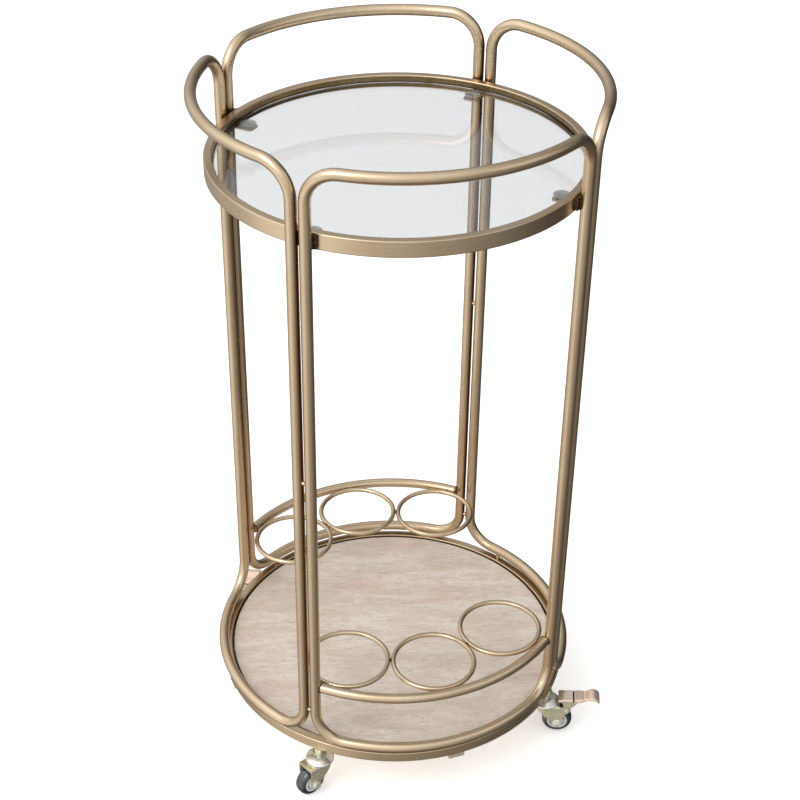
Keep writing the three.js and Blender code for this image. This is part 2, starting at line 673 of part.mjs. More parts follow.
function addCasters() {
  for (const { name, azimuth, heading, braked } of CORNERS) {
    const caster = new THREE.Group();
    caster.position.copy(polar(LOWER_RING_MIDDLE_RADIUS, azimuth + CASTER_AZIMUTH_SHIFT, 0));
    caster.rotation.z = radians(heading - 90);
    cart.add(caster);
    add(caster, `caster_${name}_stem`, stemGeometry(), yellowZinc);
    add(caster, `caster_${name}_fork`, forkGeometry(braked), yellowZinc);
    add(caster, `caster_${name}_axle`, axleGeometry(), yellowZinc);
    add(caster, `caster_${name}_hub`, hubGeometry(), whiteHub);
    add(caster, `caster_${name}_tyre`, tyreGeometry(), blackTyre);
    if (braked) {
      add(caster, `caster_${name}_brake_pin`, brakePinGeometry(), yellowZinc);
      add(caster, `caster_${name}_pedal`, pedalGeometry(), copperPlate);
    }
  }
}

addFrame();
addShelves();
addGalleries();
addCasters();

export default cart;
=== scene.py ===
"""Looks of a round two-tier bar cart: gold tube loops, a glass tray, a pale board shelf,
bottle rings and four swivel casters, two of them with brake pedals.

Everything is in metres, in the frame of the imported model: +Z up, the front towards -Y.
Azimuths are in degrees, from the front towards +X.
"""

import sys

import json
import logging
import math
from dataclasses import dataclass
from enum import Enum
from typing import Any, Iterable, Sequence

import bmesh
import bpy
from mathutils import Matrix, Vector


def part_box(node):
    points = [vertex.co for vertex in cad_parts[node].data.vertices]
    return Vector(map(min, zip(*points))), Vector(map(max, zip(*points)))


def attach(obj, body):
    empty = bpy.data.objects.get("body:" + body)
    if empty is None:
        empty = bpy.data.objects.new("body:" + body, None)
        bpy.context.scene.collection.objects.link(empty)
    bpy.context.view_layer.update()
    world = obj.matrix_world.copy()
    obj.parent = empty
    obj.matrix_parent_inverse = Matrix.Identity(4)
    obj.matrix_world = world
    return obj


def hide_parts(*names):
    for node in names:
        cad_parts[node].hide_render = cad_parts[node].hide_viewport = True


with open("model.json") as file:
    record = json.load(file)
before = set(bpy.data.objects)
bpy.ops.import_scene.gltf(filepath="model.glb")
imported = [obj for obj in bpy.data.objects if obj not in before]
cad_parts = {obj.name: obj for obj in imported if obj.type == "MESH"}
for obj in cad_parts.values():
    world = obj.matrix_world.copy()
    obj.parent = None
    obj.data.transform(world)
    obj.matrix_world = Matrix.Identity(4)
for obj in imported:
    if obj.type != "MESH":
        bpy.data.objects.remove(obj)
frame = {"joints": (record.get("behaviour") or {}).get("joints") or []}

MM = 0.001
TINY = 1e-9
MERGE_DISTANCE = 1e-7
ROUND_STEPS = 160
CORNERS = {"front_left": -45.0, "front_right": 45.0, "back_right": 135.0, "back_left": 225.0}
LOOPS = {"front": 0.0, "right": 90.0, "back": 180.0, "left": 270.0}
BRAKED = ("front_right", "back_left")
GOLD_TONES = ("ccb899", "c8ad8c", "e2d6bc")
log = logging.getLogger("bar_cart")

Point = tuple[float, float]
Triple = tuple[float, float, float]
Colour = tuple[float, float, float, float]


def paint(code: str) -> Colour:
    """The linear colour of an sRGB hex code.

    Args:
        code: The code, such as "a28f70".

    Returns:
        The colour, fully opaque.
    """
    parts = [int(code[i : i + 2], 16) / 255 for i in (0, 2, 4)]
    linear = [c / 12.92 if c <= 0.04045 else ((c + 0.055) / 1.055) ** 2.4 for c in parts]
    return (*linear, 1.0)


def mm(*sizes: float) -> list[float]:
    """Sizes given in millimetres, in metres."""
    return [size * MM for size in sizes]


def profile(base: float, *points: Point) -> list[Point]:
    """Points given as millimetres across and millimetres above a base, in metres."""
    return [(across * MM, base + above * MM) for across, above in points]


def doubled(points: Sequence[Point]) -> list[Point]:
    """A line of points that goes on through its own mirror image below and above zero height."""
    return list(points) + [(across, -height) for across, height in reversed(points)]


def oblong(left: float, low: float, right: float, high: float) -> list[Point]:
    """The corners of a rectangle."""
    return [(left, low), (right, low), (right, high), (left, high)]


def polar(radius: float, azimuth: float, z: float) -> Vector:
    """A point at a radius, an azimuth in degrees and a height."""
    angle = math.radians(azimuth)
    return Vector((radius * math.sin(angle), -radius * math.cos(angle), z))


def turn_to(azimuth: float) -> Matrix:
    """The turn about Z that brings the front to an azimuth in degrees."""
    return Matrix.Rotation(math.radians(azimuth), 4, "Z")


# ------------------------------------------------------------------ node graphs


class Value:
    """A number socket that takes part in Python sums."""

    def __init__(self, graph: "Graph", socket: bpy.types.NodeSocket) -> None:
        """Wraps a socket of a graph."""
        self.graph = graph
        self.socket = socket

    def _sum(self, operation: str, *terms: Any) -> "Value":
        """Adds a Math node of an operation over the terms."""
        inputs = dict(enumerate(terms))
        return self.graph.node("ShaderNodeMath", {"operation": operation}, inputs).value(0)

    def __add__(self, other: Any) -> "Value":
        """self + other."""
        return self._sum("ADD", self, other)

    __radd__ = __add__

    def __sub__(self, other: Any) -> "Value":
        """self - other."""
        return self._sum("SUBTRACT", self, other)

    def __rsub__(self, other: Any) -> "Value":
        """other - self."""
        return self._sum("SUBTRACT", other, self)

    def __mul__(self, other: Any) -> "Value":
        """self * other."""
        return self._sum("MULTIPLY", self, other)

    __rmul__ = __mul__

    def __pow__(self, other: Any) -> "Value":
        """self ** other."""
        return self._sum("POWER", self, other)

    def above(self, level: float, softness: float) -> "Value":
        """Adds a soft step.

        Args:
            level: Where the step lies.
            softness: How far it reaches to either side.

        Returns:
            0 below the step and 1 above it.
        """
        return self.graph.node(
            "ShaderNodeMapRange",
            {"interpolation_type": "SMOOTHSTEP"},
            {0: self, 1: level - softness, 2: level + softness},
        ).value(0)


class Made:
    """A node that was added, with its outputs at hand."""

    def __init__(self, graph: "Graph", node: bpy.types.Node) -> None:
        """Keeps the node and its graph."""
        self.graph = graph
        self.node = node

    def value(self, output: int | str = 0) -> Value:
        """One of the node's outputs."""
        return Value(self.graph, self.node.outputs[output])


class Graph:
    """A node tree and the one way in which nodes are added to it."""

    def __init__(self, tree: bpy.types.NodeTree) -> None:
        """Takes the tree."""
        self.tree = tree

    def node(self, kind: str, settings: dict[str, Any] | None = None,
             inputs: dict[int | str, Any] | None = None) -> Made:
        """Adds a node.

        Args:
            kind: The node's type.
            settings: Its properties, with "stops" for a ramp's (place, colour) pairs.
            inputs: Values or links of its sockets, by name or by number.

        Returns:
            The node that was made.
        """
        made = self.tree.nodes.new(kind)
        for key, setting in (settings or {}).items():
            if key == "stops":
                self._set_stops(made.color_ramp, setting)
            else:
                setattr(made, key, setting)
        for key, given in (inputs or {}).items():
            self.feed(made.inputs[key], given)
        return Made(self, made)

    def feed(self, socket: bpy.types.NodeSocket, given: Any) -> None:
        """Fills a socket.

        Args:
            socket: The socket.
            given: A value to link to it, or its own number, colour or object.
        """
        if isinstance(given, Value):
            self.tree.links.new(given.socket, socket)
        else:
            socket.default_value = given

    @staticmethod
    def _set_stops(ramp: bpy.types.ColorRamp, stops: Sequence[tuple[float, Colour]]) -> None:
        """Gives a ramp its stops.

        Args:
            ramp: The ramp.
            stops: A place and a colour for each stop.
        """
        while len(ramp.elements) < len(stops):
            ramp.elements.new(0.5)
        for element, (place, colour) in zip(ramp.elements, stops):
            element.position = place
            element.color = colour


class Shader(Graph):
    """A material's node tree."""

    def __init__(self, name: str) -> None:
        """Starts an empty material.

        Args:
            name: The material's name.
        """
        self.material = bpy.data.materials.new(name)
        self.material.use_nodes = True
        self.material.node_tree.nodes.clear()
        super().__init__(self.material.node_tree)
        self.place = self.node("ShaderNodeTexCoord").value("Object")

    def mapped(self, scale: Sequence[float], turn: float = 0.0) -> Value:
        """Stretches the object's coordinates.

        Args:
            scale: The stretch along each axis, after the turn.
            turn: The turn about Z, in radians.

        Returns:
            The coordinates.
        """
        turned = self.node(
            "ShaderNodeVectorRotate", {"rotation_type": "Z_AXIS"}, {"Vector": self.place, "Angle": -turn}
        ).value(0)
        return self.node(
            "ShaderNodeVectorMath", {"operation": "MULTIPLY"}, {0: turned, 1: tuple(scale)}
        ).value(0)

    def noise(self, scale: float, detail: float = 3.0, rough: float = 0.5,
              place: Value | None = None, twist: float = 0.0) -> Value:
        """Adds a soft noise.

        Args:
            scale: How many patches lie along a metre.
            detail: How many finer layers it has.
            rough: How strong each finer layer is.
            place: The coordinates, or None for the object's own.
            twist: How far the pattern is distorted.

        Returns:
            The noise, between 0 and 1.
        """
        inputs = {
            "Vector": place or self.place,
            "Scale": scale,
            "Detail": detail,
            "Roughness": rough,
            "Distortion": twist,
        }
        return self.node("ShaderNodeTexNoise", {}, inputs).value(0)

    def mix(self, share: Any, first: Any, second: Any) -> Value:
        """Mixes two colours, the second by its share."""
        inputs = {0: share, 6: first, 7: second}
        return self.node("ShaderNodeMix", {"data_type": "RGBA"}, inputs).value(2)

    def bump(self, height: Value, strength: float, distance: float) -> Value:
        """A bumped normal."""
        inputs = {"Height": height, "Strength": strength, "Distance": distance}
        return self.node("ShaderNodeBump", {}, inputs).value(0)

    def close(self, **sockets: Any) -> bpy.types.Material:
        """Ends the tree in a Principled shader.

        Args:
            **sockets: Values or links of its sockets, with _ for each space.

        Returns:
            The material.
        """
        inputs = {key.replace("_", " "): given for key, given in sockets.items()}
        surface = self.node("ShaderNodeBsdfPrincipled", {}, inputs).value(0)
        self.node("ShaderNodeOutputMaterial", {}, {"Surface": surface})
        return self.material


# ------------------------------------------------------------------ finishes


@dataclass(frozen=True)
class PlatedMetal:
    """Satin plated metal: soft cloudy tone, fine grain and faint rubs.

    Between the two heights of upright the grain runs up and down, and elsewhere round the cart.
    Heights above the cart leave no upright stretch. Between the tubes of a double leg a painted
    shade darkens the tone, standing in for the shade that falls in that narrow gap.
    """

    name: str
    tone: str
    warm: str
    rubbed: str
    roughness: float
    grain: float
    cloud_scale: float = 14.0
    rub_level: float = 0.68
    metallic: float = 1.0
    upright: Point = (0.13, 0.8)
    pair_shade_reach: float = 0.0
    pair_shade_softness: float = 1.2 * MM
    pair_shade_share: float = 0.75
    pair_shade_tone: str = "8a6540"
    drawn_stretch: Triple = (420.0, 420.0, 12.0)
    rolled_stretch: Triple = (14.0, 14.0, 420.0)
    grain_scale: float = 1600.0
    rub_scale: float = 150.0

    def material(self) -> bpy.types.Material:
        """Builds the material.

        Returns:
            The material.
        """
        shader = Shader(self.name)
        clouds = shader.noise(self.cloud_scale, 3.0, 0.55)
        level = shader.node("ShaderNodeSeparateXYZ", {}, {0: shader.place}).value(2)
        tall = level.above(self.upright[0], 10 * MM) - level.above(self.upright[1], 10 * MM)
        drawn = shader.noise(1.0, 4.0, 0.6, shader.mapped(self.drawn_stretch))
        rolled = shader.noise(1.0, 4.0, 0.6, shader.mapped(self.rolled_stretch))
        streaks = drawn * tall + rolled * (1.0 - tall)
        grain = shader.noise(self.grain_scale, 2.0, 0.5)
        rubs = shader.noise(self.rub_scale, 5.0, 0.7, twist=0.6).above(self.rub_level, 0.07)
        tone = shader.mix(clouds.above(0.5, 0.3), paint(self.tone), paint(self.warm))
        tone = shader.mix(streaks.above(0.55, 0.2) * 0.25 + rubs * 0.35, tone, paint(self.rubbed))
        roughness = self.roughness + (streaks - 0.5) * 0.1 + rubs * 0.08 + (clouds - 0.5) * 0.1
        # Painted shade: the tone darkens near the planes between the tubes of a double leg, where shade
        # falls in the gap.
        if self.pair_shade_reach:
            shade = 1.0 - self.pair_plane_distance(shader).above(self.pair_shade_reach, self.pair_shade_softness)
            tone = shader.mix(shade * self.pair_shade_share, tone, paint(self.pair_shade_tone))
        normal = shader.bump(streaks * 0.6 + grain * 0.4, self.grain, 0.05 * MM)
        return shader.close(Base_Color=tone, Roughness=roughness, Normal=normal, Metallic=self.metallic)

    @staticmethod
    def pair_plane_distance(shader: Shader) -> Value:
        """Measures from the two upright planes between the double legs.

        Args:
            shader: The material's tree.

        Returns:
            The distance from the nearer plane.
        """
        parts = shader.node("ShaderNodeSeparateXYZ", {}, {0: shader.place})
        sides = [(parts.value(axis) ** 2) ** 0.5 for axis in (0, 1)]
        return ((sides[0] - sides[1]) ** 2) ** 0.5 * math.sqrt(0.5)


@dataclass(frozen=True)
class ScorchedWeld:
    """A heat-darkened weld."""

    name: str = "weld"
    dark: str = "2a1d10"
    bronze: str = "6e5636"
    burn_scale: float = 420.0

    def material(self) -> bpy.types.Material:
        """Builds the material.

        Returns:
            The material.
        """
        shader = Shader(self.name)
        burn = shader.noise(self.burn_scale, 4.0, 0.65)
        tone = shader.mix(burn.above(0.52, 0.14), paint(self.dark), paint(self.bronze))
        normal = shader.bump(burn, 0.5, 0.2 * MM)
        return shader.close(Base_Color=tone, Roughness=0.62 - burn * 0.25, Normal=normal, Metallic=0.85)


@dataclass(frozen=True)
class ClearGlass:
    """Clear toughened glass with a faint grey cast and a few smears."""

    name: str = "tray_glass"
    cast: str = "cfd0d1"
    smear_stretch: Triple = (14.0, 30.0, 14.0)
    smear_turn: float = 0.6

    def material(self) -> bpy.types.Material:
        """Builds the material.

        Returns:
            The material.
        """
        shader = Shader(self.name)
        smears = shader.noise(1.0, 4.0, 0.6, shader.mapped(self.smear_stretch, self.smear_turn), 0.4)
        roughness = smears.above(0.62, 0.12) * 0.035
        return shader.close(
            Base_Color=paint(self.cast), Roughness=roughness, IOR=1.46, Transmission_Weight=1.0
        )


@dataclass(frozen=True)
class ClearPad:
    """Clear soft plastic that has gone a little milky."""

    name: str = "soft_clear_pad"
    cast: str = "f5f4f0"
    haze_scale: float = 260.0

    def material(self) -> bpy.types.Material:
        """Builds the material.

        Returns:
            The material.
        """
        shader = Shader(self.name)
        haze = shader.noise(self.haze_scale, 3.0, 0.6)
        return shader.close(
            Base_Color=paint(self.cast),
            Roughness=0.08 + haze * 0.16,
            IOR=1.45,
            Transmission_Weight=0.45,
            Normal=shader.bump(haze, 0.2, 0.2 * MM),
        )


@dataclass(frozen=True)
class PaleBoard:
    """Pale board with fine straight grain, darker dashes and pinkish patches."""

    name: str = "pale_board"
    light: str = "e2d7c8"
    mid: str = "d2c2b1"
    streak: str = "a8937f"
    pink: str = "d8bba8"
    dash: str = "857566"
    grain_turn: float = math.radians(-17.0)

    def material(self) -> bpy.types.Material:
        """Builds the material.

        Returns:
            The material.
        """
        shader = Shader(self.name)
        broad = shader.noise(1.0, 4.0, 0.6, shader.mapped((11.0, 40.0, 40.0), self.grain_turn), 0.8)
        fine = shader.noise(1.0, 6.0, 0.75, shader.mapped((80.0, 380.0, 380.0), self.grain_turn), 0.6)
        dashes = shader.noise(1.0, 3.0, 0.6, shader.mapped((120.0, 640.0, 640.0), self.grain_turn))
        patches = shader.noise(1.0, 3.0, 0.6, shader.mapped((9.0, 16.0, 16.0), self.grain_turn))
        tone = shader.mix(broad.above(0.5, 0.16), paint(self.mid), paint(self.light))
        tone = shader.mix(patches.above(0.58, 0.12) * 0.55, tone, paint(self.pink))
        tone = shader.mix(fine.above(0.56, 0.16) * 0.5, tone, paint(self.streak))
        tone = shader.mix(dashes.above(0.66, 0.05) * 0.6, tone, paint(self.dash))
        height = fine * 0.6 + dashes * 0.4
        return shader.close(
            Base_Color=tone,
            Roughness=0.5 + (fine - 0.5) * 0.3,
            Normal=shader.bump(height, 0.35, 0.15 * MM),
            Specular_IOR_Level=0.35,
        )


@dataclass(frozen=True)
class WheelRubber:
    """Black rubber with a bluish bloom that is partly a painted sheen, and dust on the tread."""

    name: str = "wheel_rubber"
    black: str = "0b0c10"
    bloom_and_sheen: str = "39435a"
    dust: str = "4d4b48"
    bloom_and_sheen_scale: float = 130.0
    dust_scale: float = 700.0
    skin_scale: float = 500.0

    def material(self) -> bpy.types.Material:
        """Builds the material.

        Returns:
            The material.
        """
        shader = Shader(self.name)
        bloom_and_sheen = shader.noise(self.bloom_and_sheen_scale, 4.0, 0.6)
        dust = shader.noise(self.dust_scale, 4.0, 0.7).above(0.64, 0.06)
        # Partly painted sheen: the bluish bloom patches are light enough to stand in for highlights on the
        # glossy rubber.
        tone = shader.mix(bloom_and_sheen.above(0.6, 0.08) * 0.35, paint(self.black), paint(self.bloom_and_sheen))
        tone = shader.mix(dust * 0.3, tone, paint(self.dust))
        return shader.close(
            Base_Color=tone,
            Roughness=0.14 + bloom_and_sheen * 0.16 + dust * 0.2,
            Normal=shader.bump(shader.noise(self.skin_scale), 0.12, 0.1 * MM),
            Specular_IOR_Level=1.0,
            Coat_Weight=0.6,
            Coat_Roughness=0.12,
        )


@dataclass(frozen=True)
class MouldedPlastic:
    """Moulded plastic with a fine orange peel."""

    name: str
    tone: str
    shade: str
    cloud_scale: float = 220.0
    peel_scale: float = 900.0

    def material(self) -> bpy.types.Material:
        """Builds the material.

        Returns:
            The material.
        """
        shader = Shader(self.name)
        clouds = shader.noise(self.cloud_scale, 3.0, 0.6)
        tone = shader.mix(clouds.above(0.56, 0.14) * 0.6, paint(self.tone), paint(self.shade))
        return shader.close(
            Base_Color=tone,
            Roughness=0.34 + clouds * 0.16,
            Normal=shader.bump(shader.noise(self.peel_scale), 0.2, 0.08 * MM),
        )


@dataclass(frozen=True)
class PaleFloor:
    """The plain pale floor."""

    name: str = "pale_floor"
    tone: str = "f4f3f0"
    shade: str = "e9e8e5"
    glow: float = 0.42

    def material(self) -> bpy.types.Material:
        """Builds the material.

        Returns:
            The material.
        """
        shader = Shader(self.name)
        mottle = shader.noise(3.0).above(0.5, 0.3) * 0.1
        tone = shader.mix(mottle, paint(self.tone), paint(self.shade))
        return shader.close(
            Base_Color=tone,
            Roughness=0.9,
            Specular_IOR_Level=0.0,
            Emission_Color=paint(self.tone),
            Emission_Strength=self.glow,
        )


class Finish(Enum):
    """Each finish with the material slot of the record that it belongs to."""

    # The gold of the loops carries a painted shade between the tubes of each double leg.
    GOLD = (PlatedMetal("satin_gold", *GOLD_TONES, 0.27, 0.07, pair_shade_reach=3.4 * MM), "gold_tube")
    HOOP = (PlatedMetal("satin_gold_hoop", *GOLD_TONES, 0.27, 0.07, upright=(9.0, 9.1)), "gold_tube")
    WELD = (ScorchedWeld(), "gold_tube")
    # A darker gold for the bands of painted shade inside the rings.
    BRONZE = (PlatedMetal("dark_bronze", "857355", "6a5638", "a8946e", 0.36, 0.5), "gold_tube")
    GLASS = (ClearGlass(), "glass")
    PAD = (ClearPad(), "clear_pad")
    BOARD = (PaleBoard(), "pale_wood")
    ZINC = (
        PlatedMetal("yellow_zinc", "cfc5a0", "bcba9e", "f1eddd", 0.2, 0.12,
                    cloud_scale=60.0, rub_level=0.6, metallic=0.7),
        "zinc",
    )
    SILVER = (
        PlatedMetal("bright_zinc", "e9e7df", "dfdfd6", "f6f6f2", 0.18, 0.1,
                    cloud_scale=60.0, rub_level=0.66, metallic=0.75),
        "zinc",
    )
    COPPER = (
        PlatedMetal("pressed_copper", "f0dac4", "e6c6ae", "faf0e4", 0.17, 0.1,
                    cloud_scale=70.0, rub_level=0.62, metallic=0.72),
        "pedal_plate",
    )
    RUBBER = (WheelRubber(), "tyre")
    # Black for the ring of painted shade in the gap round the board.
    SEAT = (MouldedPlastic("black_seat", "111111", "1c1b1a"), "pale_wood")
    SLOT = (MouldedPlastic("black_slot", "0c0b0a", "171514"), "pedal_plate")
    # Black for the liner of painted shade in the pedal's slot.
    HUB = (MouldedPlastic("hub_plastic", "d9dad8", "b9bbb9"), "hub")

    def material(self) -> bpy.types.Material:
        """The finish's material, built when it is first asked for."""
        recipe = self.value[0]
        return bpy.data.materials.get(recipe.name) or recipe.material()

    @property
    def slot(self) -> str:
        """The record's material slot."""
        return self.value[1]


# ------------------------------------------------------------------ meshes


@dataclass
class Form:
    """Points and faces of a closed shape that is still being made."""

    points: list[Vector]
    faces: list[tuple[int, ...]]

    def moved(self, matrix: Matrix) -> "Form":
        """The same shape somewhere else."""
        return Form([matrix @ p for p in self.points], list(self.faces))

    def joined(self, *others: "Form") -> "Form":
        """Joins this shape with others.

        Args:
            *others: The other shapes.

        Returns:
            One shape that holds them all.
        """
        points, faces = list(self.points), list(self.faces)
        for other in others:
            start = len(points)
            points += other.points
            faces += [tuple(i + start for i in face) for face in other.faces]
        return Form(points, faces)

    def mesh(self, name: str) -> bpy.types.Mesh:
        """Makes a Blender mesh, with its doubles merged and its faces outwards.

        Args:
            name: The mesh's name.

        Returns:
            The mesh.
        """
        mesh = bpy.data.meshes.new(name)
        mesh.from_pydata([tuple(p) for p in self.points], [], self.faces)
        work = bmesh.new()
        work.from_mesh(mesh)
        bmesh.ops.remove_doubles(work, verts=work.verts, dist=MERGE_DISTANCE)
        bmesh.ops.recalc_face_normals(work, faces=work.faces)
        work.to_mesh(mesh)
        work.free()
        return mesh


def rounded(corners: Sequence[Point], radius: float | Sequence[float], steps: int = 4) -> list[Point]:
    """Rounds the corners of a closed outline.

    Args:
        corners: The outline's corners.
        radius: How far from each corner the rounding starts, or one length for each corner.
        steps: Faces in each rounding.

    Returns:
        The rounded outline.
    """
    count = len(corners)
    reach = list(radius) if isinstance(radius, Sequence) else [radius] * count
    outline: list[Point] = []
    for i, corner in enumerate(corners):
        here = Vector(corner)
        before = Vector(corners[i - 1]) - here
        after = Vector(corners[(i + 1) % count]) - here
        if reach[i] <= 0:
            outline.append(tuple(here))
            continue
        start = here + before.normalized() * min(reach[i], before.length * 0.49)
        end = here + after.normalized() * min(reach[i], after.length * 0.49)
        for step in range(steps + 1):
            t = step / steps
            spot = start * (1 - t) ** 2 + here * 2 * t * (1 - t) + end * t**2
            outline.append(tuple(spot))
    return outline


def lathe(profile: Sequence[Point], segments: int = 48) -> Form:
    """A closed shape turned about Z from (radius, z) points.

    Args:
        profile: An open line that starts and ends on the axis, or a closed outline off it.
        segments: Steps of the turn.

    Returns:
        The turned shape.
    """
    points: list[Vector] = []
    rings: list[list[int]] = []
    for radius, z in profile:
        count = 1 if radius < TINY else segments
        rings.append(list(range(len(points), len(points) + count)))
        for step in range(count):
            angle = 2 * math.pi * step / segments
            points.append(Vector((radius * math.cos(angle), radius * math.sin(angle), z)))
    pairs = list(zip(rings, rings[1:]))
    if len(rings[0]) > 1:
        pairs.append((rings[-1], rings[0]))
    faces: list[tuple[int, ...]] = []
    for low, high in pairs:
        for step in range(segments):
            after = (step + 1) % segments
            face = (low[step % len(low)], low[after % len(low)],
                    high[after % len(high)], high[step % len(high)])
            face = tuple(dict.fromkeys(face))
            if len(face) > 2:
                faces.append(face)
    return Form(points, faces)


def loft(sections: Sequence[Sequence[Vector]]) -> Form:
    """Stretches a closed shape through sections and caps both ends.

    Args:
        sections: Closed outlines that all have the same number of points.

    Returns:
        The shape.
    """
    size = len(sections[0])
    points = [p for section in sections for p in section]
    faces: list[tuple[int, ...]] = []
    for level in range(len(sections) - 1):
        base = level * size
        for i in range(size):
            after = (i + 1) % size
            faces.append((base + i, base + after, base + size + after, base + size + i))
    faces.append(tuple(range(size)))
    faces.append(tuple(range(len(points) - size, len(points))))
    return Form(points, faces)


def plate(outline: Sequence[Point], low: float, high: float, edge: float) -> Form:
    """Makes a flat plate with softened upper and lower edges.

    Args:
        outline: Its outline in X and Y.
        low: The height of its underside.
        high: The height of its top.
        edge: How far the softening reaches.

    Returns:
        The plate.
    """
    centre = sum((Vector(p) for p in outline), Vector((0.0, 0.0))) / len(outline)
    levels: list[tuple[float, float]] = []
    for angle in (0.0, math.pi / 4, math.pi / 2):
        levels.append((low + edge * (1 - math.sin(angle)), edge * (1 - math.cos(angle))))
    levels.sort()
    tops = [(high - (z - low), inset) for z, inset in reversed(levels)]
    sections = []
    for z, inset in levels + tops:
        section = []
        for p in outline:
            out = Vector(p) - centre
            share = max(0.0, 1 - inset / max(out.length, TINY))
            spot = centre + out * share
            section.append(Vector((spot.x, spot.y, z)))
        sections.append(section)
    return loft(sections)


def slab(low: Sequence[float], high: Sequence[float], edge: float) -> Form:
    """A block between two corners with rounded upright edges and softened rims."""
    outline = rounded(oblong(low[0], low[1], high[0], high[1]), edge, 3)
    return plate(outline, low[2], high[2], edge * 0.8)


def hexagon(radius: float, low: float, high: float, chamfer: float) -> Form:
    """Makes a hexagonal nut or bolt head with its corners chamfered by a cone.

    Args:
        radius: The reach of its corners.
        low: The height of its underside.
        high: The height of its top.
        chamfer: How far the cone cuts the corners back.

    Returns:
        The shape.
    """
    steps, sixth = 24, math.pi / 3
    fall = chamfer * 0.45
    sections = []
    for z, cut in ((low, chamfer), (low + fall, 0.0), (high - fall, 0.0), (high, chamfer)):
        section = []
        for step in range(steps):
            angle = 2 * math.pi * step / steps
            flat = radius * math.cos(sixth / 2) / math.cos((angle % sixth) - sixth / 2)
            reach = min(flat, radius - cut)
            section.append(Vector((reach * math.cos(angle), reach * math.sin(angle), z)))
        sections.append(section)
    return loft(sections)


def onto_y(form: Form) -> Form:
    """Turns a shape made about Z so that it lies about Y."""
    return form.moved(Matrix.Rotation(-math.pi / 2, 4, "X"))


# ------------------------------------------------------------------ geometry nodes


class GeometryGraph(Graph):
    """A geometry tree with named inputs."""

    def __init__(self, name: str, inputs: dict[str, str]) -> None:
        """Starts the tree.

        Args:
            name: The tree's name.
            inputs: The kind of socket of each input, by the input's name.
        """
        tree = bpy.data.node_groups.new(name, "GeometryNodeTree")
        super().__init__(tree)
        tree.interface.new_socket("Geometry", in_out="INPUT", socket_type="NodeSocketGeometry")
        for key, kind in inputs.items():
            tree.interface.new_socket(key, in_out="INPUT", socket_type=kind)
        tree.interface.new_socket("Geometry", in_out="OUTPUT", socket_type="NodeSocketGeometry")
        self.given = self.node("NodeGroupInput")

    def finish_with(self, geometry: Value) -> bpy.types.NodeTree:
        """Ends the tree with real geometry, smooth and in its finish.

        Args:
            geometry: What the tree has made.

        Returns:
            The tree.
        """
        real = self.node("GeometryNodeRealizeInstances", {}, {0: geometry}).value()
        smooth = self.node("GeometryNodeSetShadeSmooth", {}, {0: real}).value()
        dressed = self.node(
            "GeometryNodeSetMaterial", {}, {"Geometry": smooth, "Material": self.given.value("Finish")}
        ).value()
        self.node("NodeGroupOutput", {}, {0: dressed})
        return self.tree


def tube_tree() -> bpy.types.NodeTree:
    """Makes the tree that lays a round tube along each line of edges.

    Returns:
        The tree.
    """
    sockets = {"Tube radius": "NodeSocketFloat", "Sides": "NodeSocketInt", "Finish": "NodeSocketMaterial"}
    graph = GeometryGraph("tube_along_path", sockets)
    path = graph.node("GeometryNodeMeshToCurve", {}, {0: graph.given.value("Geometry")}).value()
    ring = graph.node(
        "GeometryNodeCurvePrimitiveCircle",
        {},
        {"Resolution": graph.given.value("Sides"), "Radius": graph.given.value("Tube radius")},
    ).value()
    tube = graph.node(
        "GeometryNodeCurveToMesh", {}, {"Curve": path, "Profile Curve": ring, "Fill Caps": True}
    ).value()
    return graph.finish_with(tube)


def repeat_tree() -> bpy.types.NodeTree:
    """Makes the tree that puts a copy of an item at each point.

    Each copy is turned by the point's attribute "turn" and is a little larger or smaller.

    Returns:
        The tree.
    """
    sockets = {
        "Item": "NodeSocketObject",
        "Spread": "NodeSocketFloat",
        "Seed": "NodeSocketInt",
        "Finish": "NodeSocketMaterial",
    }
    graph = GeometryGraph("repeat_at_points", sockets)
    item = graph.node("GeometryNodeObjectInfo", {}, {"Object": graph.given.value("Item")}).value("Geometry")
    turn = graph.node("GeometryNodeInputNamedAttribute", {"data_type": "FLOAT_VECTOR"}, {"Name": "turn"})
    rotation = graph.node("FunctionNodeEulerToRotation", {}, {0: turn.value(0)}).value()
    spread = graph.given.value("Spread")
    size = graph.node(
        "FunctionNodeRandomValue",
        {"data_type": "FLOAT"},
        {2: 1 - spread, 3: 1 + spread, "Seed": graph.given.value("Seed")},
    ).value(1)
    copies = graph.node(
        "GeometryNodeInstanceOnPoints",
        {},
        {"Points": graph.given.value("Geometry"), "Instance": item, "Rotation": rotation, "Scale": size},
    ).value()
    return graph.finish_with(copies)


def run_tree(source: bpy.types.Object, tree: bpy.types.NodeTree, given: dict[str, Any]) -> bpy.types.Mesh:
    """Runs a geometry tree on an object and returns the plain mesh that it makes.

    Args:
        source: The object that the tree starts from. It is removed.
        tree: The geometry tree.
        given: Values of the tree's inputs, by name.

    Returns:
        The mesh.
    """
    modifier = source.modifiers.new(tree.name, "NODES")
    modifier.node_group = tree
    for socket in tree.interface.items_tree:
        if socket.in_out == "INPUT" and socket.name in given:
            modifier[socket.identifier] = given[socket.name]
    source.update_tag()
    bpy.context.view_layer.update()
    graph = bpy.context.evaluated_depsgraph_get()
    mesh = bpy.data.meshes.new_from_object(source.evaluated_get(graph), depsgraph=graph)
    source.modifiers.remove(modifier)
    bpy.data.objects.remove(source)
    return mesh


def linked(name: str, data: bpy.types.ID) -> bpy.types.Object:
    """Adds an object to the scene.

    Args:
        name: The object's name.
        data: Its mesh, light or camera.

    Returns:
        The object.
    """
    made = bpy.data.objects.new(name, data)
    bpy.context.scene.collection.objects.link(made)
    return made


# ------------------------------------------------------------------ the workshop


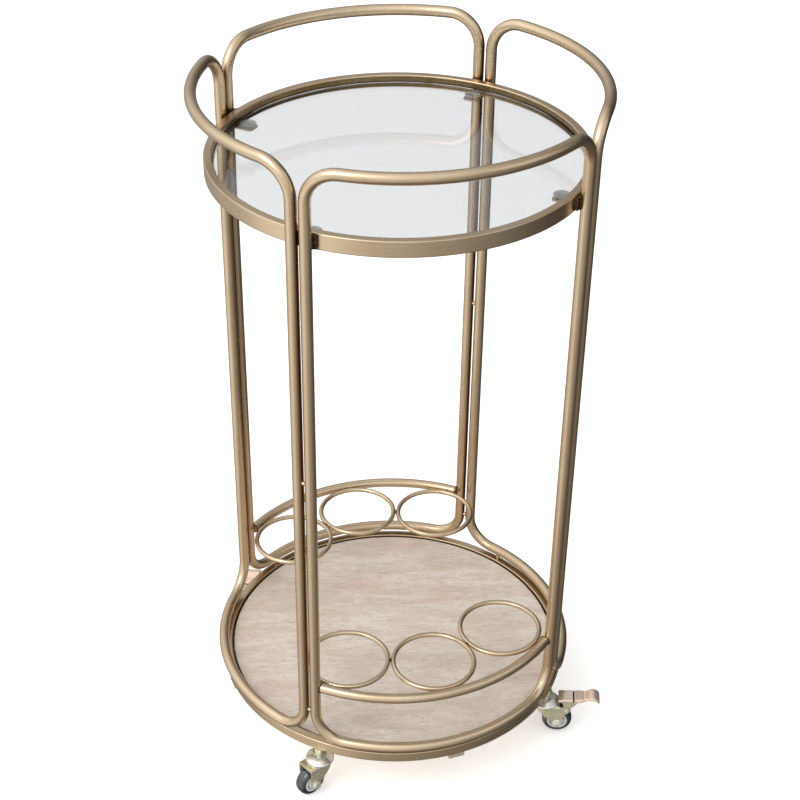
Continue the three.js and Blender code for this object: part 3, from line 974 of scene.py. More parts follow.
class Workshop:
    """Turns shapes into finished pieces that ride on the model's bodies."""

    def __init__(self) -> None:
        """Makes both geometry trees."""
        self.tubes = tube_tree()
        self.repeats = repeat_tree()

    def piece(self, name: str, form: Form | bpy.types.Mesh, finish: Finish, body: str = "frame",
              replaces: Iterable[str] = (), sharp: float = 38.0) -> bpy.types.Object:
        """Makes a finished piece.

        Args:
            name: The piece's name.
            form: Its shape, in the model's frame.
            finish: What it is dressed in.
            body: The body that it rides on.
            replaces: The CAD nodes that it stands for.
            sharp: Edges that turn by more than this many degrees stay crisp.

        Returns:
            The piece.
        """
        mesh = form.mesh(name) if isinstance(form, Form) else form
        mesh.materials.clear()
        mesh.materials.append(finish.material())
        mesh.shade_smooth()
        mesh.set_sharp_from_angle(angle=math.radians(sharp))
        mesh = self.weighted(mesh)
        made = linked(name, mesh)
        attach(made, body)
        if replaces:
            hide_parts(*replaces)
        log.info("%s: %d faces on %s", name, len(mesh.polygons), body)
        return made

    @staticmethod
    def weighted(mesh: bpy.types.Mesh) -> bpy.types.Mesh:
        """Lets the large faces carry the shading, so that flat faces look flat.

        Args:
            mesh: A mesh, which is removed.

        Returns:
            The same mesh with such normals.
        """
        name = mesh.name
        source = linked("shading", mesh)
        modifier = source.modifiers.new("weighted", "WEIGHTED_NORMAL")
        modifier.keep_sharp = True
        bpy.context.view_layer.update()
        graph = bpy.context.evaluated_depsgraph_get()
        shaded = bpy.data.meshes.new_from_object(source.evaluated_get(graph), depsgraph=graph)
        source.modifiers.remove(modifier)
        bpy.data.objects.remove(source)
        bpy.data.meshes.remove(mesh)
        shaded.name = name
        return shaded

    def tube(self, path: Sequence[Vector], radius: float, closed: bool, sides: int) -> bpy.types.Mesh:
        """Makes a round tube.

        Args:
            path: The points of its centre line.
            radius: Its radius.
            closed: Whether the line runs back to its start.
            sides: The sides of its section.

        Returns:
            The tube's mesh.
        """
        count = len(path)
        edges = [(i, i + 1) for i in range(count - 1)] + ([(count - 1, 0)] if closed else [])
        mesh = bpy.data.meshes.new("path")
        mesh.from_pydata([tuple(p) for p in path], edges, [])
        given = {"Tube radius": radius, "Sides": sides, "Finish": Finish.GOLD.material()}
        return run_tree(linked("path", mesh), self.tubes, given)

    def copies(self, item: Form, places: Sequence[Matrix], spread: float = 0.0,
               seed: int = 7) -> bpy.types.Mesh:
        """Repeats an item.

        Args:
            item: The item.
            places: Where the copies go.
            spread: The share by which a copy may be larger or smaller.
            seed: The seed of those sizes.

        Returns:
            The mesh of all the copies.
        """
        mesh = bpy.data.meshes.new("places")
        mesh.from_pydata([tuple(m.translation) for m in places], [], [])
        turns = mesh.attributes.new("turn", "FLOAT_VECTOR", "POINT")
        for data, matrix in zip(turns.data, places):
            data.vector = tuple(matrix.to_euler("XYZ"))
        stock = linked("stock", item.mesh("stock"))
        given = {"Item": stock, "Spread": spread, "Seed": seed, "Finish": Finish.GOLD.material()}
        made = run_tree(linked("places", mesh), self.repeats, given)
        bpy.data.objects.remove(stock)
        return made


def bead(length: float, width: float) -> Form:
    """Makes one ripple of a weld, a low pebble.

    Args:
        length: Its length.
        width: Its width.

    Returns:
        The shape.
    """
    half, flatness = width / 2, 0.75
    arc = [(half * math.sin(math.radians(a)), half * -math.cos(math.radians(a))) for a in range(30, 151, 30)]
    stretch = Matrix.Diagonal((length / width, 1.0, flatness, 1.0))
    return lathe([(0.0, -half), *arc, (0.0, half)], 10).moved(stretch)


def ring_places(centre: Vector, axis: Vector, radius: float, count: int) -> list[Matrix]:
    """Spreads places round a circle, each with its X axis along the circle.

    Args:
        centre: The circle's centre.
        axis: The circle's axis.
        radius: Its radius.
        count: How many places there are.

    Returns:
        The places.
    """
    turn = axis.to_track_quat("Z", "Y").to_matrix().to_4x4()
    places = []
    for step in range(count):
        spot = Matrix.Rotation(2 * math.pi * step / count, 4, "Z") @ Matrix.Translation((radius, 0, 0))
        places.append(Matrix.Translation(centre) @ turn @ spot @ Matrix.Rotation(math.pi / 2, 4, "Z"))
    return places


def at_corners(form: Form) -> Form:
    """A shape made at the front, put behind each of the four double legs."""
    turned = [form.moved(turn_to(azimuth)) for azimuth in CORNERS.values()]
    return turned[0].joined(*turned[1:])


# ------------------------------------------------------------------ frame


@dataclass
class TubeFrame:
    """The four bent tube loops, both rings, and the studs, spacers and lugs between them."""

    shop: Workshop
    tube_radius: float = 6 * MM
    plating: float = 0.5 * MM
    corner_radius: float = 37 * MM
    leg_parts: int = 6
    run_parts: int = 40
    pair_gap: float = 3.7 * MM
    ring_overhang: float = 0.5 * MM
    stud_height: float = 4 * MM
    stud_radius: float = 2 * MM
    stud_azimuth: float = 30.0
    upper_ring_width: float = 9.5 * MM
    lower_ring_width: float = 10.5 * MM
    ring_edge: float = 1.6 * MM
    shade_liner: float = 0.35 * MM
    lug_margin: float = 3 * MM
    lug_inset: float = 2.2 * MM
    lug_edge: float = 0.8 * MM
    lug_bead: float = 2.4 * MM
    lug_bead_count: int = 9
    spacer_radius: float = 2.5 * MM

    def __post_init__(self) -> None:
        """Takes the main places from the model."""
        ring_low, ring_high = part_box("lower_ring")
        self.lower_ring = (ring_high.x, ring_low.z, ring_high.z)
        self.circle = ring_high.x - self.ring_overhang
        self.foot_z = ring_high.z + self.stud_height + self.tube_radius
        self.rail_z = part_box("loop_front")[1].z - self.tube_radius
        low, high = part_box("upper_ring")
        self.upper_ring = (high.x, low.z, high.z)
        self.half_pair = self.pair_gap / 2 + self.tube_radius
        self.half_arc = self.circle * math.pi / 4 - self.half_pair

    def wrapped(self, along: float, z: float) -> Vector:
        """A point on the cart's cylinder from an arc length and a height."""
        return polar(self.circle, math.degrees(along / self.circle), z)

    def loop_path(self) -> list[Vector]:
        """Draws the front loop's centre line: a rounded rectangle rolled onto the cylinder.

        Returns:
            The points of the closed line.
        """
        bend, flat = self.corner_radius, self.half_arc - self.corner_radius
        low, high = self.foot_z + bend, self.rail_z - bend
        corners = (
            (flat, low, -90, self.leg_parts),
            (flat, high, 0, self.run_parts),
            (-flat, high, 90, self.leg_parts),
            (-flat, low, 180, self.run_parts),
        )
        path: list[Vector] = []
        for index, (x, z, start, parts) in enumerate(corners):
            for angle in (math.radians(start + turn) for turn in range(0, 91, 5)):
                path.append(Vector((x + bend * math.cos(angle), z + bend * math.sin(angle))))
            after_x, after_z, after_start = corners[(index + 1) % 4][:3]
            angle = math.radians(after_start)
            end = Vector((after_x + bend * math.cos(angle), after_z + bend * math.sin(angle)))
            path += [path[-1].lerp(end, step / parts) for step in range(1, parts)]
        return [self.wrapped(x, z) for x, z in path]

    def loops(self) -> None:
        """The four loops."""
        for name, azimuth in LOOPS.items():
            path = [turn_to(azimuth) @ p for p in self.loop_path()]
            mesh = self.shop.tube(path, self.tube_radius + self.plating, True, 32)
            self.shop.piece(f"tube_loop_{name}", mesh, Finish.GOLD, replaces=[f"loop_{name}"], sharp=60)

    def rings(self) -> None:
        """Both rings, hoops of flat bar with thin dark bands of painted shade on their inner faces."""
        sizes = (
            ("upper_ring", self.upper_ring_width, self.upper_ring),
            ("lower_ring", self.lower_ring_width, self.lower_ring),
        )
        for name, width, (outer, low, high) in sizes:
            inner, skin = outer - width, self.shade_liner
            bar = rounded(oblong(inner, low, outer, high), self.ring_edge)
            hoop = lathe(bar, ROUND_STEPS)
            self.shop.piece(f"{name}_bar", hoop, Finish.HOOP, replaces=[name], sharp=50)
            # Painted shade: a thin dark band on the ring's inner face stands in for the shade inside the
            # ring's gap.
            face = oblong(inner - skin, low + self.ring_edge, inner + skin, high - self.ring_edge)
            band = lathe(rounded(face, skin * 0.6, 2), ROUND_STEPS)
            self.shop.piece(f"{name}_inner_face", band, Finish.BRONZE)

    def lugs(self) -> None:
        """The lugs behind the double legs, and the weld beads down their ends."""
        outer, low, high = self.upper_ring
        low, high = low + self.lug_inset, high - self.lug_inset
        half = self.half_pair + self.tube_radius + self.lug_margin
        reach = math.sqrt(self.circle**2 - self.half_pair**2) - self.tube_radius
        lug = slab((-half, -reach, low), (half, self.upper_ring_width / 2 - outer, high), self.lug_edge)
        # The lugs are dressed in the dark weld finish and reach past each leg, so they show as dark blocks
        # beside the tubes.
        self.shop.piece("ring_lugs", at_corners(lug), Finish.WELD)
        across, ahead = self.half_pair + self.tube_radius * 0.75, reach + 0.6 * MM
        places = []
        for azimuth in CORNERS.values():
            for side in (-across, across):
                for step in range(self.lug_bead_count):
                    z = low + (high - low) * (step + 0.5) / self.lug_bead_count
                    spot = Matrix.Translation((side, -ahead, z))
                    places.append(turn_to(azimuth) @ spot @ Matrix.Rotation(math.pi / 2, 4, "Y"))
        beads = self.shop.copies(bead(self.lug_bead, self.lug_bead), places, 0.12)
        self.shop.piece("lug_weld_beads", beads, Finish.WELD)

    def studs(self) -> None:
        """The short studs between the lower ring and the loops' bottom runs, with their welds."""
        low, high = self.lower_ring[2] - 0.5 * MM, self.foot_z - self.tube_radius * 0.6
        radius, height = self.stud_radius, high - low
        outline = [
            (0, 0),
            (radius * 1.35, 0),
            (radius * 1.2, 0.9 * MM),
            (radius, 1.4 * MM),
            (radius, height - 1.2 * MM),
            (radius * 1.25, height),
            (0, height),
        ]
        foot = self.circle - self.tube_radius / 3
        spots = [
            polar(foot, azimuth + side, low)
            for azimuth in LOOPS.values()
            for side in (-self.stud_azimuth, self.stud_azimuth)
        ]
        places = [Matrix.Translation(spot) for spot in spots]
        self.shop.piece("ring_studs", self.shop.copies(lathe(outline, 20), places), Finish.HOOP)
        up = Vector((0, 0, 1))
        places = []
        for spot in spots:
            for level in (0.7 * MM, height - 0.5 * MM):
                places += ring_places(spot + up * level, up, radius * 1.15, 9)
        beads = self.shop.copies(bead(1.3 * MM, 1.0 * MM), places, 0.15)
        self.shop.piece("stud_weld_beads", beads, Finish.WELD)

    def spacers(self) -> None:
        """The spacers between the two tubes of each leg."""
        half, radius = self.pair_gap / 2 + 0.4 * MM, self.spacer_radius
        line = doubled([(0, -half), (radius * 1.2, -half), (radius, -half * 0.6)])
        pin = onto_y(lathe(line, 20)).moved(Matrix.Rotation(math.pi / 2, 4, "Z"))
        places, stood_for = [], []
        for corner, azimuth in CORNERS.items():
            for level in ("upper", "lower"):
                node = f"leg_spacer_{corner}_{level}"
                low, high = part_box(node)
                spot = Matrix.Translation((0, -self.circle, (low.z + high.z) / 2))
                places.append(turn_to(azimuth) @ spot)
                stood_for.append(node)
        made = self.shop.copies(pin, places)
        self.shop.piece("leg_spacers", made, Finish.HOOP, replaces=stood_for)

    def build(self) -> None:
        """Builds the whole frame."""
        self.loops()
        self.rings()
        self.lugs()
        self.studs()
        self.spacers()


# ------------------------------------------------------------------ shelves


@dataclass
class Shelves:
    """The glass tray top on its tabs and pads, and the board shelf on its support cross."""

    shop: Workshop
    glass_polish: float = 1.2 * MM
    ring_clearance: float = 1.4 * MM
    tab_half: float = 9.6 * MM
    tab_length: float = 21 * MM
    tab_corner: float = 6 * MM
    tab_edge: float = 0.5 * MM
    board_edge: float = 0.8 * MM
    shade_ring_gap: float = 0.2 * MM
    shade_ring_width: float = 2.1 * MM
    shade_ring_drop: float = 4 * MM
    shade_ring_edge: float = 0.4 * MM
    cross_azimuth: float = 3.0
    bar_half: float = 10 * MM
    bar_edge: float = 0.9 * MM

    def glass(self) -> None:
        """The glass disc with its polished edge."""
        low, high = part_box("glass_top")
        radius, half, edge = high.x, (high.z - low.z) / 2, self.glass_polish
        slope = edge * 0.3
        line = [(0, -half), (radius - edge, -half), (radius - slope, slope - half), (radius, edge - half)]
        disc = lathe(doubled(line), ROUND_STEPS).moved(Matrix.Translation((0, 0, low.z + half)))
        self.shop.piece("tray_glass", disc, Finish.GLASS, replaces=["glass_top"], sharp=25)

    def tabs(self) -> None:
        """The tabs on the upper ring."""
        low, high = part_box("glass_tab_front_left")
        ring_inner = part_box("glass_top")[1].x + self.ring_clearance
        corners = oblong(-self.tab_half, 0.5 * MM, self.tab_half, self.tab_length)
        outline = rounded(corners, [0, 0, self.tab_corner, self.tab_corner], 6)
        tab = plate(outline, 0, high.z - low.z, self.tab_edge)
        tab = tab.moved(Matrix.Translation((0, -ring_inner, low.z)))
        nodes = [f"glass_tab_{corner}" for corner in CORNERS]
        self.shop.piece("glass_tabs", at_corners(tab), Finish.HOOP, replaces=nodes)

    def pads(self) -> None:
        """The suction pads between the tabs and the glass."""
        low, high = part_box("glass_pad_front_left")
        centre, depth, radius = (low + high) / 2, high.z - low.z, (high.x - low.x) / 2
        line = [
            (0, -0.7 * MM),
            (radius * 0.35, -0.7 * MM),
            (radius * 0.42, 0.2 * MM),
            (radius * 0.55, depth * 0.35),
            (radius * 0.85, depth * 0.62),
            (radius, depth * 0.86),
            (radius, depth + 0.2 * MM),
            (radius * 0.94, depth + 0.25 * MM),
            (radius * 0.6, depth * 0.75),
            (0, depth * 0.6),
        ]
        cup = lathe(line, 40).moved(Matrix.Translation((0, -math.hypot(centre.x, centre.y), low.z)))
        for corner, azimuth in CORNERS.items():
            made = cup.moved(turn_to(azimuth))
            self.shop.piece(f"suction_pad_{corner}", made, Finish.PAD, replaces=[f"glass_pad_{corner}"])

    def board(self) -> None:
        """The pale board and a dark ring of painted shade in the gap round it."""
        low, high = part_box("lower_panel")
        edges = [0, self.board_edge, self.board_edge, 0]
        disc = lathe(rounded(oblong(0, low.z, high.x, high.z), edges), ROUND_STEPS)
        self.shop.piece("shelf_board", disc, Finish.BOARD, replaces=["lower_panel"], sharp=50)
        # Painted shade: a dark ring beside the board's edge stands in for the shade deep in the gap between
        # board and ring.
        inner = high.x + self.shade_ring_gap
        line = oblong(inner, low.z, inner + self.shade_ring_width, high.z - self.shade_ring_drop)
        shade_ring = lathe(rounded(line, self.shade_ring_edge, 2), ROUND_STEPS)
        self.shop.piece("board_seat", shade_ring, Finish.SEAT)

    def cross(self) -> None:
        """The two flat bars under the board, with two screws on each of the four arms."""
        low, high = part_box("panel_support_cross")
        reach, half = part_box("lower_ring")[1].x - 1 * MM, self.bar_half
        lengthwise = slab((-half, -reach, low.z), (half, reach, high.z), self.bar_edge)
        crosswise = slab((-reach, -half, low.z), (reach, half, high.z), self.bar_edge)
        both = lengthwise.joined(crosswise).moved(turn_to(self.cross_azimuth))
        self.shop.piece("support_cross", both, Finish.ZINC, replaces=["panel_support_cross"])
        head = lathe(profile(0, (0, -1.9), (2.2, -1.8), (3.6, -1.1), (4.1, 0), (4.1, 0.3), (0, 0.3)), 20)
        places = [
            turn_to(self.cross_azimuth + quarter) @ Matrix.Translation((0, -distance, low.z))
            for quarter in (0, 90, 180, 270)
            for distance in (reach - 8 * MM, reach * 0.55)
        ]
        self.shop.piece("cross_screws", self.shop.copies(head, places), Finish.ZINC)

    def build(self) -> None:
        """Builds both shelves."""
        self.glass()
        self.tabs()
        self.pads()
        self.board()
        self.cross()


# ------------------------------------------------------------------ bottle galleries


@dataclass
class Galleries:
    """The front and back gallery rails with three bottle rings each."""

    shop: Workshop
    tubes: TubeFrame
    inset: float = 3.5 * MM
    wire_radius: float = 3 * MM
    ring_steps: int = 72
    rail_parts: int = 60

    def rail(self, name: str, azimuth: float) -> None:
        """Makes a rail, with a ring of weld at each end.

        Args:
            name: The gallery's name.
            azimuth: Where its middle is.
        """
        low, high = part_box(f"gallery_rail_{name}")
        z = (low.z + high.z) / 2
        radius = self.tubes.circle - self.inset
        bore = self.tubes.tube_radius
        end = math.degrees(self.tubes.half_arc / self.tubes.circle - bore * 0.9 / radius)
        shares = [step * 2 / self.rail_parts - 1 for step in range(self.rail_parts + 1)]
        path = [turn_to(azimuth) @ polar(radius, end * share, z) for share in shares]
        mesh = self.shop.tube(path, bore, False, 32)
        self.shop.piece(f"rail_{name}", mesh, Finish.HOOP, replaces=[f"gallery_rail_{name}"], sharp=60)
        places = []
        for side in (-1, 1):
            centre = turn_to(azimuth) @ polar(radius, side * (end - 0.25), z)
            axis = (turn_to(azimuth + side * end) @ Vector((1, 0, 0))) * side
            places += ring_places(centre, axis, bore * 1.02, 22)
        beads = self.shop.copies(bead(2.2 * MM, 1.9 * MM), places, 0.14, 11)
        self.shop.piece(f"rail_weld_beads_{name}", beads, Finish.WELD)

    def rings(self, name: str) -> None:
        """Makes the three bottle rings of a gallery and the welds where they meet.

        Args:
            name: The gallery's name.
        """
        centres = []
        for number in (1, 2, 3):
            node = f"bottle_ring_{name}_{number}"
            low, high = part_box(node)
            centre, radius = (low + high) / 2, (high.x - low.x) / 2 - self.wire_radius
            turns = [360 * step / self.ring_steps for step in range(self.ring_steps)]
            path = [centre + polar(radius, turn, 0) for turn in turns]
            mesh = self.shop.tube(path, self.wire_radius, True, 20)
            self.shop.piece(f"bottle_wire_{name}_{number}", mesh, Finish.HOOP, replaces=[node], sharp=60)
            centres.append(centre)
        touches = [(before + after) / 2 for before, after in zip(centres, centres[1:])]
        for centre in centres:
            out = Vector((centre.x, centre.y, 0)).normalized()
            touches.append(centre + out * (radius + self.wire_radius + 0.4 * MM))
        up = Vector((0, 0, 0.9 * MM))
        places = [Matrix.Translation(touch + up * step) for touch in touches for step in range(-2, 3)]
        beads = self.shop.copies(bead(2.8 * MM, 2.8 * MM), places, 0.12, 5)
        self.shop.piece(f"bottle_ring_welds_{name}", beads, Finish.WELD)

    def build(self) -> None:
        """Builds both galleries."""
        for name in ("front", "back"):
            self.rail(name, LOOPS[name])
            self.rings(name)


# ------------------------------------------------------------------ casters


@dataclass
class Caster:
    """A swivel caster, drawn with its stem on Z and its wheel towards +X, then put in place."""

    shop: Workshop
    name: str
    braked: bool
    sheet: float = 1.9 * MM
    back_radius: float = 13 * MM
    roll_back: float = 3 * MM
    hood_reach: float = 23 * MM
    hood_lip: float = 1.6 * MM
    eye_radius: float = 6 * MM
    bend: float = 2.6 * MM
    shoulder: float = 5 * MM
    tyre_width: float = 17 * MM
    tyre_bore: float = 12.6 * MM
    tyre_gap: float = 2 * MM
    hub_boss: float = 6.6 * MM
    hub_well: float = 4.8 * MM
    cap_radius: float = 17.5 * MM
    cap_gap: float = 0.4 * MM
    cap_height: float = 5.8 * MM
    nut_radius: float = 7.5 * MM
    nut_height: float = 6.3 * MM
    thread_pitch: float = 1 * MM
    bolt_radius: float = 5.4 * MM
    axle_radius: float = 3 * MM
    pin_lead: float = 10.5 * MM
    pin_drop: float = 5.2 * MM
    pin_radius: float = 1.6 * MM
    ear_drop: float = 8 * MM

    def __post_init__(self) -> None:
        """Takes the caster's place and main sizes from the model."""
        joints = {joint["name"]: joint for joint in frame["joints"]}
        stem = Vector(joints[f"caster_{self.name}_swivel_turn"]["pos_m"])
        roll = joints[f"caster_{self.name}_wheel_roll"]
        wheel, side = Vector(roll["pos_m"]), Vector(roll["axis"]).normalized()
        ahead = side.cross(Vector((0, 0, 1)))
        self.place = Matrix((
            (ahead.x, side.x, 0, stem.x),
            (ahead.y, side.y, 0, stem.y),
            (0, 0, 1, 0),
            (0, 0, 0, 1),
        ))
        self.trail = (wheel - stem).dot(ahead)
        self.wheel_radius = wheel.z
        self.fork_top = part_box(self.node("fork"))[1].z
        self.ring_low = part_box("lower_ring")[0].z
        self.half = self.tyre_width / 2 + self.tyre_gap + self.sheet
        self.pin = Vector((self.trail + self.pin_lead, 0, self.fork_top - self.pin_drop))
        self.swivel, self.wheel_body = self.node("swivel"), self.node("wheel")

    def node(self, part: str) -> str:
        """The name of one of the caster's CAD nodes or bodies."""
        return f"caster_{self.name}_{part}"

    def add(self, part: str, form: Form | bpy.types.Mesh, finish: Finish, body: str,
            replaces: Sequence[str] = (), sharp: float = 38.0) -> None:
        """Adds one of the caster's pieces.

        Args:
            part: What the piece is.
            form: A shape that is still to be put in place, or a mesh that is in place.
            finish: What it is dressed in.
            body: The body that it rides on.
            replaces: The parts of the CAD that it stands for.
            sharp: Edges that turn by more than this many degrees stay crisp.
        """
        if isinstance(form, Form):
            form = form.moved(self.place)
        nodes = [self.node(replaced) for replaced in replaces]
        self.shop.piece(self.node(f"{part}_looks"), form, finish, body, nodes, sharp)

    def repeated(self, item: Form, places: Sequence[Matrix]) -> bpy.types.Mesh:
        """An item repeated at places of the caster."""
        return self.shop.copies(item, [self.place @ m for m in places])

    def stem(self) -> None:
        """The domed cap, the riveted kingpin, the threaded stem and the hex nut."""
        cap_low, nut_high = self.fork_top + self.cap_gap, self.ring_low
        nut_low = nut_high - self.nut_height
        rim, top = self.cap_radius / MM, self.cap_height / MM
        dome = [(rim, 0), (rim, 2.2), (rim - 1.6, 3.0), (rim - 6, 5.0), (8.5, top)]
        outline = profile(cap_low, (2.4, 0), *dome, (7.4, top - 0.6), (2.4, top - 0.6))
        cap = lathe(rounded(outline, mm(0, 0.5, 0.8, 1.2, 2.4, 0.8, 0.5, 0), 4), 56)
        self.add("cap", cap, Finish.SILVER, "frame", ["stem"], 45)
        kingpin = profile(self.fork_top, (0, -4.3), (6.5, -4.2), (6.5, -2.9), (5.6, -2.3), (3.6, -2.2))
        rod = lathe(kingpin + profile(nut_high, (3.6, 3), (0, 3)), 32)
        self.add("stem", rod, Finish.SILVER, "frame")
        thread = lathe(doubled(profile(0, (3.4, -0.5), (4.0, -0.08))), 28)
        tilt = Matrix.Rotation(math.radians(2.5), 4, "X")
        start = cap_low + self.cap_height
        count = int((nut_low - start) / self.thread_pitch) + 1
        levels = [start + self.thread_pitch * step for step in range(count)]
        turns = [Matrix.Translation((0, 0, level)) @ tilt for level in levels]
        self.add("thread", self.repeated(thread, turns), Finish.SILVER, "frame")
        nut = hexagon(self.nut_radius, nut_low, nut_high, 1.1 * MM)
        washer = lathe(rounded(oblong(3.8 * MM, nut_low - 1.3 * MM, 8.6 * MM, nut_low), 0.3 * MM, 2), 40)
        self.add("nut", nut.joined(washer), Finish.ZINC, "frame", sharp=25)

    def skirt_bottom(self, x: float) -> float:
        """Follows the lower edge of the fork's side plates.

        Args:
            x: A place along the fork.

        Returns:
            The edge's height there.
        """
        shoulder = self.fork_top - self.shoulder
        left, right = self.trail - self.eye_radius, self.trail + self.eye_radius
        if x <= -self.back_radius:
            return shoulder
        if x <= left:
            share = (x + self.back_radius) / (left + self.back_radius)
            return shoulder + (self.wheel_radius - shoulder) * share
        if x < right:
            return self.wheel_radius - math.sqrt(max(0.0, self.eye_radius**2 - (x - self.trail) ** 2))
        share = min(1.0, (x - right) / (self.hood_reach - right))
        return self.wheel_radius + (self.pin.z - self.ear_drop - self.wheel_radius) * share

    def fork_section(self, x: float) -> list[Vector]:
        """Draws a section across the fork: a bridge with two bent-down sides.

        Args:
            x: Where along the fork the section lies.

        Returns:
            The section's outline.
        """
        half = self.half
        if x < 0:
            half *= math.sqrt(max(0.02, 1 - (x / (self.back_radius + self.roll_back)) ** 2))
        top, low = self.fork_top, self.skirt_bottom(x)
        bend = min(self.bend, half * 0.6)
        tight = max(bend - self.sheet, 0.3 * MM)
        outer = [(half, low)]
        inner = [(half - self.sheet, low)]
        for angle in (math.radians(turn) for turn in range(0, 91, 15)):
            c, s = math.cos(angle), math.sin(angle)
            outer.append((half - bend + bend * c, top - bend + bend * s))
            inner.append((half - self.sheet - tight + tight * c, top - self.sheet - tight + tight * s))
        outer += [(-y, z) for y, z in reversed(outer)]
        inner += [(-y, z) for y, z in reversed(inner)]
        return [Vector((x, y, z)) for y, z in outer + inner[::-1]]

    def fork(self) -> None:
        """The pressed fork with its rolled back, its eyes and its hood or brake ears."""
        back = self.back_radius + self.roll_back
        front = self.cap_radius + 0.5 * MM if self.braked else self.hood_reach
        stations = [-back * math.cos(math.radians(a)) for a in range(4, 91, 7)]
        stations += [step * MM for step in range(1, 10)]
        eye = [self.trail - self.eye_radius * math.cos(math.radians(a)) for a in range(0, 181, 9)]
        stations += [x for x in eye if x < front - 0.05 * MM] + [front]
        body = loft([self.fork_section(x) for x in sorted(set(stations))])
        if self.braked:
            body = body.joined(*self.brake_ears(front))
        else:
            inside, top = self.half - self.sheet, self.fork_top
            low = (front - self.hood_lip, -inside, top - 4.2 * MM)
            body = body.joined(slab(low, (front + 0.2 * MM, inside, top - 0.4 * MM), 0.5 * MM))
        self.add("fork", body, Finish.ZINC, self.swivel, ["fork"], 30)
        rim = profile(0, (3.3, 0), (6.0, 0), (5.6, 0.7), (3.3, 0.7))
        boss = lathe(rounded(rim, 0.25 * MM, 2), 32)
        turns = [
            Matrix.Translation((self.trail, side * self.half, self.wheel_radius))
            @ Matrix.Rotation(-side * math.pi / 2, 4, "X")
            for side in (-1, 1)
        ]
        self.add("fork_eyes", self.repeated(boss, turns), Finish.ZINC, self.swivel)

    def brake_ears(self, start: float) -> list[Form]:
        """Makes the two ears that carry the brake pedal's pin.

        Args:
            start: Where the bridge ends.

        Returns:
            Both ears.
        """
        top, pin, lead = self.fork_top, self.pin, self.pin.x + 4 * MM
        outline = [
            (start, self.skirt_bottom(start)),
            (self.trail + self.eye_radius * 0.8, self.wheel_radius - self.eye_radius * 0.6),
            (self.trail + self.eye_radius, self.wheel_radius),
            (self.hood_reach - 0.5 * MM, pin.z - self.ear_drop),
            (lead, pin.z - 3 * MM),
            (lead, top),
            (start, top),
        ]
        shape = plate(rounded(outline, mm(0, 0.6, 1, 3, 3, 4.5, 0), 4), 0, self.sheet, 0.25 * MM)
        return self.stood(shape, (-self.half + self.sheet, self.half))

    @staticmethod
    def stood(shape: Form, sides: Sequence[float]) -> list[Form]:
        """A flat shape stood upright along X, once at each place across."""
        upright = Matrix.Rotation(math.pi / 2, 4, "X")
        return [shape.moved(Matrix.Translation((0, y, 0)) @ upright) for y in sides]

    def onto_axle(self, form: Form) -> Form:
        """Puts a shape made about Z onto the wheel's axle."""
        return onto_y(form).moved(Matrix.Translation((self.trail, 0, self.wheel_radius)))

    def wheel(self) -> None:
        """The tyre with its mould line and the hub with its ribs."""
        radius, half, bore = self.wheel_radius, self.tyre_width / 2, self.tyre_bore
        side = [
            (bore, 1 * MM - half),
            (radius - 4.4 * MM, -half),
            (radius - 1.2 * MM, 2.2 * MM - half),
            (radius - 0.05 * MM, -3 * MM),
        ]
        reach = mm(0.4, 1.6, 1.8, 2.2, 2.2, 1.8, 1.6, 0.4)
        tyre = self.onto_axle(lathe(rounded(doubled(side), reach, 5), 96))
        self.add("tyre", tyre, Finish.RUBBER, self.wheel_body, ["tyre"], 50)
        line = lathe(doubled([(radius - 0.4 * MM, -0.25 * MM), (radius, -0.1 * MM)]), 96)
        self.add("tyre_mould_line", self.onto_axle(line), Finish.RUBBER, self.wheel_body)
        rim, boss, face = bore - 0.02 * MM, self.hub_boss, half - 0.9 * MM
        proud, deep = face + 0.6 * MM, face - self.hub_well
        side = [
            (self.axle_radius + 0.3 * MM, -proud),
            (boss, -proud),
            (boss + 0.3 * MM, -deep),
            (rim - 2.1 * MM, -deep),
            (rim - 1.7 * MM, -face),
            (rim, -face),
        ]
        hub = self.onto_axle(lathe(rounded(doubled(side), 0.35 * MM, 3), 72))
        self.add("hub", hub, Finish.HUB, self.wheel_body, ["hub"], 40)
        rib = slab((boss - 0.2 * MM, -0.5 * MM, 0), (rim - 1.4 * MM, 0.5 * MM, 3 * MM), 0.25 * MM)
        axle = Matrix.Translation((self.trail, 0, self.wheel_radius)) @ Matrix.Rotation(-math.pi / 2, 4, "X")
        places = [
            axle @ Matrix.Rotation(math.radians(turn), 4, "Z") @ Matrix.Translation((0, 0, z))
            for turn in range(0, 360, 60)
            for z in (deep - 0.1 * MM, -deep - 2.9 * MM)
        ]
        self.add("hub_ribs", self.repeated(rib, places), Finish.HUB, self.wheel_body)

    def axle(self) -> None:
        """The axle bolt: hex head with a washer, and a lock nut over the threaded end."""
        half = self.half
        head = hexagon(self.bolt_radius, half + 0.9 * MM, half + 3.4 * MM, 0.8 * MM)
        nut = hexagon(self.bolt_radius, -half - 3.1 * MM, -half - 0.7 * MM, 0.6 * MM)
        collar = lathe(profile(-half, (0, -3.7), (2.6, -3.7), (3.9, -3.3), (4.2, -2.8), (0, -2.8)), 28)
        ring = rounded(profile(0, (2.8, 0), (6.2, 0), (6.2, 0.8), (2.8, 0.8)), 0.2 * MM, 2)
        levels = (half + 0.1 * MM, -half - 0.9 * MM)
        washers = [lathe(ring, 36).moved(Matrix.Translation((0, 0, z))) for z in levels]
        low, high, radius = -half - 3.2 * MM, half + 1 * MM, self.axle_radius
        rod = lathe([(0, low), (radius, low), (radius, high), (0, high)], 24)
        whole = head.joined(nut, collar, rod, *washers)
        self.add("axle", self.onto_axle(whole), Finish.SILVER, self.swivel, ["axle"], 25)

